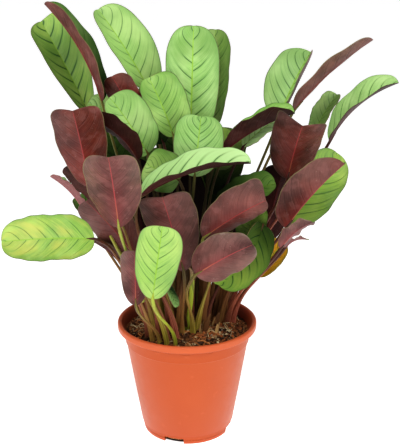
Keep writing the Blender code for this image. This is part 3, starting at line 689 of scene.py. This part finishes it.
def soil_material():
    """Dark peat with lighter crumbs."""
    paint = Paint("soil", 0.9, 0.2)
    place = paint.place()
    lumps = paint.cells(place, 420.0)
    fine = paint.noise(place, 900.0, 4.0)
    paint.colour = paint.mix(lumps.step(0.1, 0.75), (196, 134, 84), (84, 53, 31))
    paint.coat(fine.step(0.56, 0.72) * 0.7, (214, 164, 106))
    paint.coat(paint.noise(place, 70.0).step(0.46, 0.58) * 0.85, (36, 22, 14))
    return paint.finish(fine - lumps, 0.0012)


def bit_material(name):
    """Loose bits, each in a tone of its own between two colours."""
    dark, light, roughness = BIT_SKINS[name]
    paint = Paint(name, roughness, 0.3)
    grain = paint.noise(paint.place(), 1400.0, 3.0)
    paint.colour = paint.mix(paint.stored("tone") * 0.8 + grain * 0.25, dark, light)
    return paint.finish(grain, 0.0003)


# Leaves


def unit(vectors):
    """Vectors along the last axis, each made one long."""
    return vectors / np.linalg.norm(vectors, axis=-1, keepdims=True)


def aspect(leaf):
    """A blade's half-width over its length."""
    return 0.5 * leaf.width / math.dist(leaf.base, leaf.tip)


def outline(leaf, t):
    """Half-width of a blade at each t, as a share of its full half-width."""
    widest, base_blunt, tip_blunt = leaf.shape
    low = np.clip((widest - t) / widest, 0.0, 1.0)
    high = np.clip((t - widest) / (1.0 - widest), 0.0, 1.0)
    below = (1.0 - low ** base_blunt) ** BASE_ROOT
    above = (1.0 - high ** tip_blunt) ** TIP_ROOT
    return np.where(t < widest, below, above)


def midrib(leaf, t):
    """Points, directions, normals and sides of the midrib at each t, from base to tip."""
    base = np.array(leaf.base) * MM
    tip = np.array(leaf.tip) * MM
    along = unit(tip - base)
    faces = np.array(leaf.faces, float)
    normal = unit(faces - along * faces.dot(along))
    bow = (normal * leaf.arch + np.cross(along, normal) * leaf.sweep) * MM
    t = np.asarray(t)[..., None]
    points = base + (tip - base) * t + bow * 4.0 * t * (1.0 - t)
    directions = unit(tip - base + bow * 4.0 * (1.0 - 2.0 * t))
    normals = unit(normal - directions * (directions @ normal)[..., None])
    return points, directions, normals, np.cross(directions, normals)


def blade_surface(leaf, seed):
    """Column of t, row of signed u, points and outward normals of the blade's middle surface."""
    t = 0.5 - 0.5 * np.cos(math.pi * np.arange(1, STATIONS) / STATIONS)
    half = (np.arange(1, CELLS + 1) / CELLS) ** CELL_SPREAD
    u = np.concatenate((-half[::-1], [0.0], half))
    points, directions, normals, sides = (part[:, None] for part in midrib(leaf, t))
    t = t[:, None]
    across = np.abs(u)
    left = u < 0
    width = outline(leaf, t)

    def wave(turns, start, shift):
        """A wave along the blade, which runs ahead by shift in the left half."""
        return np.sin(math.tau * turns * t + start + np.where(left, shift, 0.0))

    fold, curl = (np.radians(np.where(left, *np.broadcast_to(pair, 2))) for pair in (leaf.fold, leaf.curl))
    uneven = wave(UNEVEN_WAVES[0], 6.0 * math.pi * seed + 2.4, -2.4)
    uneven = uneven + 0.5 * wave(UNEVEN_WAVES[1], 10.0 * math.pi * seed, 1.0)
    reach = leaf.width * MM * np.where(left, leaf.split, 1.0 - leaf.split) * width
    reach = reach * (1.0 + UNEVEN * leaf.crinkle ** 0.5 * uneven)
    out = reach / curl * (np.sin(fold + curl * across) - np.sin(fold))
    lift = reach / curl * (np.cos(fold) - np.cos(fold + curl * across))
    ripple = leaf.crinkle * wave(4.0 + 3.0 * seed, 20.0 * seed, 2.0)
    lift += WAVE_HEIGHT * across ** 2 * wave(WAVES, leaf.width, WAVE_SHIFT) * width
    lift += RIPPLE_HEIGHT * across ** 5 * ripple * width
    row = (t - (across * RISE_NEAR + across ** 3 * RISE_FAR) * aspect(leaf)) * VEINS
    valley = 0.5 + 0.5 * np.cos(math.tau * (row + np.where(left, 0.0, 0.5) + seed))
    quilt = (1.0 - across ** 4) * np.clip(across / QUILT_FROM, 0.0, 1.0)
    lift -= QUILT_HEIGHT * valley ** 3 * quilt * width
    onward = np.where(left, *leaf.lobes) * MM * (across * width) ** LOBE_POWER
    onward = onward * np.clip((t - LOBE_FROM) / (1.0 - LOBE_FROM), 0.0, 1.0)
    surface = (points + sides * (out * np.sign(u))[..., None] + normals * lift[..., None]
               + directions * onward[..., None])
    outward = unit(np.cross(np.gradient(surface, axis=0), np.gradient(surface, axis=1)))
    if np.sum(outward * normals) < 0:
        outward = -outward
    return t, u, surface, outward


class Sheet:
    """Points, faces and what is stored on them, gathered before they become a mesh."""

    def __init__(self):
        self.points = []
        self.uvs = []
        self.faces = []
        self.skins = []
        self.tones = []
        self.count = 0

    def add_grid(self, points, uvs, skin=0, flip=False, wrap=False):
        """Add a grid of points as quads. wrap joins its last column to its first."""
        rows, columns = points.shape[:2]
        index = self.count + np.arange(rows * columns).reshape(rows, columns)
        self.points.append(points.reshape(-1, 3))
        self.uvs.append(uvs.reshape(-1, 2))
        self.count += rows * columns
        if wrap:
            index = np.concatenate((index, index[:, :1]), axis=1)
        quads = np.stack((index[:-1, :-1], index[:-1, 1:], index[1:, 1:], index[1:, :-1]), axis=-1)
        quads = quads.reshape(-1, 4)
        self.faces.append(quads[:, ::-1] if flip else quads)
        self.skins.append(np.full(len(quads), skin))

    def add_tone(self, tone):
        """Store a tone on the points added since the last tone."""
        self.tones.append(np.full(self.count - sum(map(len, self.tones)), tone))

    def show(self, name, materials, node, slot, **numbers):
        """Put a smooth mesh in the scene, in place of a node of the solid model if one is named."""
        faces = np.concatenate(self.faces)
        data = bpy.data.meshes.new(name)
        data.from_pydata(np.concatenate(self.points), [], faces)
        for material in materials:
            data.materials.append(material)
        data.polygons.foreach_set("material_index", np.concatenate(self.skins).astype(np.int32))
        layer = data.uv_layers.new(name="surface")
        layer.data.foreach_set("uv", np.concatenate(self.uvs)[faces.ravel()].astype(np.float32).ravel())
        if self.tones:
            numbers["tone"] = np.concatenate(self.tones)
        for key, value in numbers.items():
            stored = data.attributes.new(key, "FLOAT", "POINT")
            stored.data.foreach_set("value", np.broadcast_to(value, self.count).astype(np.float32))
        data.validate()
        data.shade_smooth()
        result = add_object(name, data)
        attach(result, BODY)
        if node:
            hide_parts(node)


def add_object(name, data):
    """A new object in the scene."""
    result = bpy.data.objects.new(name, data)
    bpy.context.scene.collection.objects.link(result)
    return result


def add_made(name, operator, **settings):
    """A new object with the mesh that a bmesh operator makes."""
    work = bmesh.new()
    operator(work, **settings)
    data = bpy.data.meshes.new(name)
    work.to_mesh(data)
    work.free()
    return add_object(name, data)


def capped(grid, first, last):
    """A grid with a row added at each end whose points all lie in one place."""
    low, high = (np.broadcast_to(end, grid[:1].shape) for end in (first, last))
    return np.concatenate((low, grid, high))


def surface_places(across, along):
    """Surface coordinates of a capped grid."""
    along = np.concatenate(([0.0], along, [1.0]))
    return np.stack(np.broadcast_arrays(across, along[:, None]), axis=-1)


def add_blade(sheet, leaf, seed):
    """The blade's two faces and its rounded margin."""
    t, u, surface, outward = blade_surface(leaf, seed)
    across = np.abs(u) * leaf.width * MM * 0.5 * outline(leaf, t)
    rib = np.exp(-(across / RIB_WIDTH) ** 2) * (1.0 - t) ** RIB_FADE
    top = surface + outward * (0.5 * BLADE_THICKNESS - GROOVE_DEPTH * rib)[..., None]
    under = surface - outward * (0.5 * BLADE_THICKNESS + RIB_HEIGHT * rib)[..., None]
    uvs = surface_places(0.5 + 0.5 * u, t[:, 0])
    ends = midrib(leaf, (0.0, 1.0))[0]
    sheet.add_grid(capped(top, *ends), uvs, 0)
    sheet.add_grid(capped(under, *ends), uvs, 1, flip=True)
    for edge, inner, flip in ((0, 1, False), (-1, -2, True)):
        outer = unit(surface[:, edge] - surface[:, inner])
        middle = surface[:, edge] + outer * 0.4 * BLADE_THICKNESS
        rim = np.stack((under[:, edge], middle, top[:, edge]), axis=1)
        sheet.add_grid(rim, np.stack((uvs[1:-1, edge],) * 3, axis=1), 1, flip)


def inner_radius(height):
    """Inner radius of the pot's wall at a height under the collar."""
    share = (height - WALL_FOOT) / (COLLAR_FOOT - WALL_FOOT)
    return WALL_FOOT_RADIUS - WALL + (WALL_TOP_RADIUS - WALL_FOOT_RADIUS) * share


def soil_height(x, y):
    """Height of the soil: a low mound with gentle lumps."""
    reach = math.hypot(x, y) / inner_radius(SOIL_EDGE_HEIGHT)
    mound = SOIL_CROWN * max(0.0, 1.0 - reach ** 2)
    along, across, slant = LUMP_TURNS
    lumps = math.sin(x / MM * along + 1.0) * math.cos(y / MM * across) + math.sin((x - y) / MM * slant)
    return SOIL_EDGE_HEIGHT + mound + SOIL_LUMP * lumps


def hermite(start, end, start_way, end_way, t):
    """Points on the smooth curve from start to end that leaves and arrives along two ways."""
    a = 2.0 * t ** 3 - 3.0 * t ** 2 + 1.0
    b = t ** 3 - 2.0 * t ** 2 + t
    c = t ** 3 - t ** 2
    return start * a + start_way * b + end_way * c + end * (1.0 - a)


def petiole_route(leaf):
    """Points along a petiole, from under the soil to its place below the blade's midrib."""
    foot = np.array((*leaf.foot, 0.0)) * MM
    low = foot + (0.0, 0.0, SOIL_EDGE_HEIGHT - FOOT_DEPTH)
    top = foot + (0.0, 0.0, soil_height(foot[0], foot[1]) + STAND)
    points, directions, normals, _ = midrib(leaf, (0.0, ROOTED))
    stops = [top, *(np.array(point) * MM for point in leaf.via), points[0]]
    spans = [b - a for a, b in zip(stops, stops[1:])]
    leave = unit(np.array((0.0, 0.0, 1.0 - LEAN)) + unit(spans[0]) * LEAN)
    arrive = unit(directions[0] + unit(spans[-1]))
    ways = [leave, *(unit(a + b) for a, b in zip(spans, spans[1:])), arrive]
    route = [low, top]
    for k, span in enumerate(spans):
        reach = np.linalg.norm(span)
        shares = np.arange(1, PETIOLE_STEPS + 1)[:, None] / PETIOLE_STEPS
        route.extend(hermite(stops[k], stops[k + 1], ways[k] * reach, ways[k + 1] * reach, shares))
    route.append(points[1] - normals[1] * RIB_RADIUS * MM)
    return np.array(route)


def distances(points):
    """How far along a line each of its points lies."""
    return np.concatenate(([0.0], np.cumsum(np.linalg.norm(np.diff(points, axis=0), axis=1))))


def add_tube(sheet, points, wide, thin, sides, flat_way, skin=0, channel=0.0):
    """A tube round a line, an ellipse that is wide along flat_way with a channel in it.

    Its ends are drawn in to a point. Its surface coordinates run around it and along it.
    """
    directions = unit(np.gradient(points, axis=0))
    flat_way = np.array(flat_way)
    first = unit(flat_way - directions * (directions @ flat_way)[:, None])
    second = np.cross(directions, first)
    angle = math.tau * np.arange(sides) / sides
    ring = (first[:, None] * np.cos(angle)[:, None] * wide[:, None, None]
            + second[:, None] * np.sin(angle)[:, None] * thin[:, None, None])
    groove = np.clip(-np.sin(angle), 0.0, 1.0) ** 6
    channel = np.broadcast_to(channel, len(points))[:, None]
    rings = points[:, None] + ring * (1.0 - channel * groove)[..., None]
    length = distances(points)
    uvs = surface_places(np.arange(sides) / sides, length / length[-1])
    sheet.add_grid(capped(rings, points[0], points[-1]), uvs, skin, wrap=True)


def add_petiole(sheet, leaf, seed):
    """The petiole: a flat channelled sheath at its foot, a slight swelling under the blade."""
    points = petiole_route(leaf)
    length = distances(points)
    ease = np.clip((length / length[-1] - SHEATH_FROM) / SHEATH_TOP, 0.0, 1.0)
    ease = ease * ease * (3.0 - 2.0 * ease)
    foot = SHEATH_RADIUS * leaf.slim
    radius = foot + (PETIOLE_RADIUS - foot) * ease
    before_blade = (length[-2] - length) / MM
    swelling = np.exp(-((before_blade - SWELLING_BELOW) / SWELLING_LENGTH) ** 2)
    radius = radius * (1.0 + SWELLING * swelling)
    radius[-1] = 0.5 * RIB_RADIUS
    wide = radius * (SHEATH_FLAT + (1.0 - SHEATH_FLAT) * ease)
    flat_way = (1.0, seed - 0.5, 0.0)
    channel = CHANNEL_DEPTH * (1.0 - ease)
    add_tube(sheet, points, wide * MM, radius * MM, PETIOLE_SIDES, flat_way, 2, channel)


def make_leaves():
    """Each leaf in one mesh. A leaf with much painted shade gets shaded skins with little shine."""
    stalk = stalk_material()
    lit = (upper_material("leaf_upper", 0.4), under_material("leaf_under", 0.35), stalk)
    # Shaded copies of the leaf skins, with little shine: painted shade
    dull = (upper_material("leaf_upper_shaded", 0.08), under_material("leaf_under_shaded", 0.08), stalk)
    order = 0
    for group, leaves in LEAVES.items():
        for number, leaf in enumerate(leaves, 1):
            seed = (order * SEED_STEP) % 1.0
            order += 1
            sheet = Sheet()
            add_blade(sheet, leaf, seed)
            add_petiole(sheet, leaf, seed)
            skins = dull if leaf.painted_shade_upper + leaf.painted_shade_under > SHADED_SKINS_ABOVE else lit
            look = {name: getattr(leaf, name) for name in STORED}
            sheet.show(f"blade_{group}_{number}", skins, f"leaf_{group}_{number}", "leaf",
                       seed=seed, aspect=aspect(leaf), **look)


def make_shoot():
    """The rolled new leaf with its hooked tip."""
    stops = np.array(SHOOT_PATH) * MM
    last = len(stops) - 1
    places = np.linspace(0.0, last, SHOOT_STEPS)
    i = np.minimum(places.astype(int), last - 1)
    before, start, end, after = (stops[np.clip(i + k, 0, last)] for k in (-1, 0, 1, 2))
    line = hermite(start, end, 0.5 * (end - before), 0.5 * (after - start), (places - i)[:, None])
    points, radii = line[:, :3], line[:, 3]
    sheet = Sheet()
    add_tube(sheet, points, radii * 1.1, radii * 0.9, PETIOLE_SIDES, (1.0, 0.0, 0.0))
    sheet.show("rolled_shoot", [shoot_material()], "leaf_shoot", "leaf")


# Pot and soil


def polar(radius, angle):
    """The point at a distance and an angle from the middle."""
    return radius * math.cos(angle), radius * math.sin(angle)


def arc(centre, radius, start, end, steps):
    """Points of an arc in the profile plane, angles in degrees."""
    spokes = (polar(radius, angle) for angle in np.radians(np.linspace(start, end, steps + 1)))
    return [(centre[0] + x, centre[1] + y) for x, y in spokes]


def pot_profile():
    """Inner floor, inner wall, rolled rim, collar, wall, foot band and underside."""
    lip = 0.5 * (RIM_RADIUS - MOUTH_RADIUS)
    nick = 0.3 * STEP
    return [
        (0.0, WALL),
        (BASE_RADIUS - WALL - ROUND, WALL),
        (BASE_RADIUS - WALL, WALL + ROUND),
        (WALL_FOOT_RADIUS - WALL, WALL_FOOT),
        (WALL_TOP_RADIUS - WALL, COLLAR_FOOT),
        (COLLAR_RADIUS - WALL, RIM_FOOT + ROUND),
        *arc((MOUTH_RADIUS + lip, POT_HEIGHT - lip), lip, 180.0, 0.0, RIM_STEPS),
        *arc((RIM_RADIUS - RIM_EDGE, RIM_FOOT + RIM_EDGE), RIM_EDGE, 0.0, -90.0, CORNER_STEPS),
        *arc((COLLAR_RADIUS + RIM_FILLET, RIM_FOOT - RIM_FILLET), RIM_FILLET, 90.0, 180.0, CORNER_STEPS),
        (COLLAR_RADIUS - 0.8 * ROUND, COLLAR_FOOT + 2.0 * STEP),
        (COLLAR_RADIUS - ROUND, COLLAR_FOOT + STEP),
        (WALL_TOP_RADIUS + nick, COLLAR_FOOT + nick),
        (WALL_TOP_RADIUS, COLLAR_FOOT - nick),
        (WALL_FOOT_RADIUS, WALL_FOOT),
        (WALL_FOOT_RADIUS - nick, FOOT_HEIGHT + 0.3 * ROUND),
        (WALL_FOOT_RADIUS - STEP, FOOT_HEIGHT),
        (BASE_RADIUS + ROUND, FOOT_HEIGHT - ROUND),
        (BASE_RADIUS + ROUND, FOOT_LINE + GROOVE),
        (BASE_RADIUS, FOOT_LINE),
        (BASE_RADIUS + 0.5 * ROUND, FOOT_LINE - GROOVE),
        *arc((BASE_RADIUS - ROUND, ROUND), ROUND, 0.0, -90.0, 4),
        (0.0, 0.0),
    ]


def notch_cutter(angle):
    """A box across the foot of the pot's wall."""
    size = Matrix.Diagonal((NOTCH_REACH * 2.0, NOTCH_WIDTH, NOTCH_HEIGHT * 2.0, 1.0))
    cutter = add_made("notch", bmesh.ops.create_cube, size=1.0, matrix=size)
    cutter.location = (*polar(BASE_RADIUS, angle), 0.0)
    cutter.rotation_euler = (0.0, 0.0, angle)
    return cutter


def make_pot():
    """The pot turned from its profile, with the drain notches cut at its foot."""
    profile = pot_profile()
    data = bpy.data.meshes.new("nursery_pot")
    edges = [(i, i + 1) for i in range(len(profile) - 1)]
    data.from_pydata([(radius, 0.0, height) for radius, height in profile], edges, [])
    pot = add_object("nursery_pot", data)
    screw = pot.modifiers.new("turn", "SCREW")
    screw.steps = POT_SIDES
    screw.render_steps = POT_SIDES
    screw.use_merge_vertices = True
    screw.merge_threshold = MERGE_REACH
    cutters = []
    for i in range(NOTCH_COUNT):
        cutters.append(notch_cutter(math.radians(NOTCH_FIRST_DEGREES + 360.0 / NOTCH_COUNT * i)))
        cut = pot.modifiers.new(f"notch_{i + 1}", "BOOLEAN")
        cut.operation = "DIFFERENCE"
        cut.object = cutters[-1]
    mesh = bpy.data.meshes.new_from_object(pot.evaluated_get(bpy.context.evaluated_depsgraph_get()))
    pot.modifiers.clear()
    pot.data = mesh
    for cutter in cutters:
        bpy.data.objects.remove(cutter, do_unlink=True)
    mesh.materials.clear()
    mesh.materials.append(pot_material())
    mesh.shade_smooth()
    mesh.set_sharp_from_angle(angle=math.radians(SHARP_DEGREES))
    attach(pot, BODY)
    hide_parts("pot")


def crumb_height(x, y):
    """The soil's height with its crumbs."""
    at = Vector((x, y, 0.3)) * CRUMB_SCALE
    coarse, fine = CRUMB_SHARES
    crumbs = coarse * noise.noise(at) + fine * noise.noise(at * FINE_CRUMBS) - CRUMB_BED
    return soil_height(x, y) + CRUMB_HEIGHT * crumbs


def make_soil():
    """The plug of soil: a crumbly top, and its side down the pot's wall to the floor."""
    edge = inner_radius(SOIL_EDGE_HEIGHT)
    angles = math.tau * np.arange(SOIL_SIDES) / SOIL_SIDES
    bottom = WALL + ROUND + SOIL_GAP
    sides = (
        (edge - SOIL_GAP, SOIL_EDGE_HEIGHT - SOIL_CROWN),
        (inner_radius(WALL_FOOT) - SOIL_GAP, WALL_FOOT),
        (BASE_RADIUS - WALL - ROUND - SOIL_GAP, bottom),
        (0.0, bottom),
    )
    top = [(radius, None) for radius in np.linspace(0.0, 1.0, SOIL_RINGS) * (edge + SOIL_TUCK)]
    rings = []
    for radius, height in (*top, *sides):
        around = (polar(radius, angle) for angle in angles)
        rings.append([(x, y, crumb_height(x, y) if height is None else height) for x, y in around])
    points = np.array(rings)
    sheet = Sheet()
    sheet.add_grid(points, points[..., :2] / MM, flip=True, wrap=True)
    sheet.show("soil_top", [soil_material()], "soil", "soil")


def anywhere(chance):
    """A random place on the soil."""
    angle = chance.uniform(0.0, math.tau)
    radius = math.sqrt(chance.uniform(0.0, SCATTER_REACH ** 2))
    return polar(radius, angle)


def on_soil(x, y):
    """A place, moved in to the soil's edge where it lies beyond it."""
    share = min(1.0, SOIL_REACH / max(math.hypot(x, y), MM))
    return x * share, y * share


def front_right(chance):
    """A random place in the bare front right part of the soil."""
    x, y = (chance.gauss(middle, spread) * MM for middle, spread in zip(BARE_MIDDLE, BARE_SPREAD))
    return on_soil(x, y)


def add_fibre(sheet, long, thick, chance):
    """A coir fibre that lies bent on the soil."""
    x, y = anywhere(chance)
    heading = chance.uniform(0.0, math.tau)
    turn = chance.uniform(-FIBRE_TURN, FIBRE_TURN)
    step = chance.uniform(*long) * MM / FIBRE_STEPS
    rise = chance.uniform(*FIBRE_RISE) * MM
    points = []
    for i in range(FIBRE_STEPS + 1):
        x, y = on_soil(x, y)
        hump = rise * math.sin(math.pi * i / FIBRE_STEPS)
        points.append((x, y, crumb_height(x, y) + FIBRE_LIFT + hump))
        x += step * math.cos(heading)
        y += step * math.sin(heading)
        heading += turn + chance.uniform(-FIBRE_WANDER, FIBRE_WANDER)
    radii = np.full(len(points), chance.uniform(*thick) * MM)
    radii[[0, -1]] *= 0.5
    add_tube(sheet, np.array(points), radii * 1.5, radii, 5, (0.3, 0.2, 1.0))


def add_lump(sheet, wide, flat, spots, chance):
    """A loose lump such as a bark chip, a dented block of its own."""
    x, y = chance.choice(spots)(chance)
    width = chance.uniform(*wide) * MM
    rows = np.linspace(-1.0, 1.0, LUMP_ROWS)[:, None]
    angles = math.tau * np.arange(LUMP_SIDES) / LUMP_SIDES
    dents = np.array([[chance.uniform(*LUMP_DENTS) for _ in angles] for _ in rows])
    ring = np.sqrt(np.clip(1.0 - np.abs(rows) ** 3, 0.0, 1.0)) * dents
    narrow = chance.uniform(*LUMP_NARROW)
    heights = np.broadcast_to(rows * flat, ring.shape)
    body = np.stack((ring * np.cos(angles), ring * np.sin(angles) * narrow, heights), axis=-1) * width
    turn = Matrix.Rotation(chance.uniform(0.0, 6.28), 3, "Z")
    tilt = Matrix.Rotation(chance.gauss(0.0, LUMP_TILT), 3, "X")
    body = body @ np.array(turn @ tilt).T
    body += (x, y, crumb_height(x, y) + width * flat * 0.6)
    sheet.add_grid(body, body[..., :2] / MM, wrap=True)


def add_sheath(sheet, middle, spread, tall, wide, chance):
    """A dry sheath of a lost leaf that stands among the petioles."""
    angle = chance.uniform(0.0, math.tau)
    share = math.sqrt(chance.random())
    x = (middle[0] + spread[0] * share * math.cos(angle)) * MM
    y = (middle[1] + spread[1] * share * math.sin(angle)) * MM
    height = chance.uniform(*tall) * MM
    lean_x, lean_y = (at * LEAN_PER_METRE + chance.gauss(0.0, LEAN_SPREAD) for at in (x, y))
    rise = np.linspace(0.0, 1.0, FIBRE_STEPS + 1)
    bend = height * rise ** BEND_POWER
    low = soil_height(x, y) - STAND
    points = np.stack((x + lean_x * bend, y + lean_y * bend, low + height * rise), axis=-1)
    radii = chance.uniform(*wide) * MM * (1.0 - TAPER * rise ** 2)
    flat_way = (1.0, chance.uniform(-TWIST, TWIST), 0.0)
    add_tube(sheet, points, radii * 1.5, radii * 0.6, 12, flat_way, 0, CHANNEL_DEPTH)


# Each kind of bit: what adds one, its skin, how many, and sizes in millimetres, which are for a fibre
# its length and radius, for a lump its width, how flat it is and where it lies, and for a sheath the
# middle and spread of its place, its height and its half-width
LITTER = {
    "pale_fibres": (add_fibre, "pale_coir", 110, (4.0, 14.0), (0.16, 0.38)),
    "brown_fibres": (add_fibre, "brown_coir", 130, (4.0, 16.0), (0.2, 0.5)),
    "husk_chips": (add_lump, "husk", 170, (0.8, 2.8), 0.3, (front_right, front_right, anywhere)),
    "wood_chips": (add_lump, "pale_coir", 90, (0.8, 2.6), 0.25, (anywhere, front_right)),
    "bark_chips": (add_lump, "bark", 280, (1.2, 3.6), 0.35, (anywhere,)),
    "perlite_bits": (add_lump, "perlite", 34, (0.4, 1.0), 0.8, (anywhere, front_right)),
}
REMAINS = {
    "withered_sheaths": (add_sheath, "withered", 44, (8.0, 11.0), (32.0, 19.0), (56.0, 84.0), (1.8, 3.4)),
    "withered_stubs": (add_sheath, "withered", 20, (0.0, -12.0), (34.0, 22.0), (10.0, 26.0), (1.2, 2.4)),
    "dry_spikes": (add_sheath, "dry_sheath", 16, (16.0, -18.0), (20.0, 12.0), (7.0, 16.0), (0.6, 1.3)),
}


def make_loose_bits():
    """Litter on the soil and remains of lost leaves, each kind in one mesh."""
    skins = {name: bit_material(name) for name in BIT_SKINS}
    for seed, slot, kinds in ((LITTER_SEED, "soil", LITTER), (REMAINS_SEED, "leaf", REMAINS)):
        chance = random.Random(seed)
        for name, (add, skin, count, *sizes) in kinds.items():
            sheet = Sheet()
            for _ in range(count):
                add(sheet, *sizes, chance)
                sheet.add_tone(chance.random())
            sheet.show(name, [skins[skin]], None, slot)


# Stage


def make_stage():
    """A pale floor that glows as painted light, more near the pot, with a painted shadow under the pot,
    a bright even surround and soft boxes at both sides and above.
    """
    floor = add_made("floor", bmesh.ops.create_grid, x_segments=1, y_segments=1, size=FLOOR_HALF)
    floor.location = (0.0, 0.0, -FLOOR_DROP)
    paint = Paint("pale_floor", 0.7, 0.2)
    away = paint.place().length()
    lit = away.step(BASE_RADIUS - 2.0 * FLOOR_SHADE, BASE_RADIUS - FLOOR_SHADE)
    # Painted light: the floor glows more near the pot
    painted_light_near_pot = away.step(2.0 * BASE_RADIUS, BASE_RADIUS) * 0.5 + 1.0
    # Painted shadow: the floor is dark under the pot
    paint.colour = paint.mix(lit, (24, 14, 10), (235, 235, 235))
    paint.shader["Emission Color"].default_value = WHITE
    plug(paint.tree, lit * painted_light_near_pot * FLOOR_GLOW, paint.shader["Emission Strength"])
    floor.data.materials.append(paint.finish())
    world = bpy.data.worlds.new("studio")
    bpy.context.scene.world = world
    world.use_nodes = True
    background = world.node_tree.nodes["Background"].inputs
    background["Color"].default_value = WHITE
    background["Strength"].default_value = WORLD_LIGHT
    for name, (at, target, size, power) in SOFT_BOXES.items():
        light = bpy.data.lights.new(name, "AREA")
        light.shape = "RECTANGLE"
        light.size, light.size_y = size
        light.energy = power
        box = add_object(name, light)
        box.location = at
        box.rotation_euler = (Vector(target) - box.location).to_track_quat("-Z", "Y").to_euler()


def make_camera():
    """The photo's view."""
    data = bpy.data.cameras.new("camera")
    data.sensor_width = SENSOR
    data.lens = FOCAL_PIXELS * SENSOR / FRAME_PIXELS
    data.clip_start, data.clip_end = CLIP
    camera = add_object("camera", data)
    camera.location = CAMERA_AT
    camera.rotation_euler = (math.radians(90.0 - CAMERA_DOWN_DEGREES), 0.0, 0.0)
    bpy.context.scene.camera = camera


def main():
    """Camera, leaves, pot, soil and stage."""
    view = bpy.context.scene.view_settings
    view.view_transform = "Standard"
    view.look = "Medium High Contrast"
    make_camera()
    make_leaves()
    make_shoot()
    make_pot()
    make_soil()
    make_loose_bits()
    make_stage()


main()
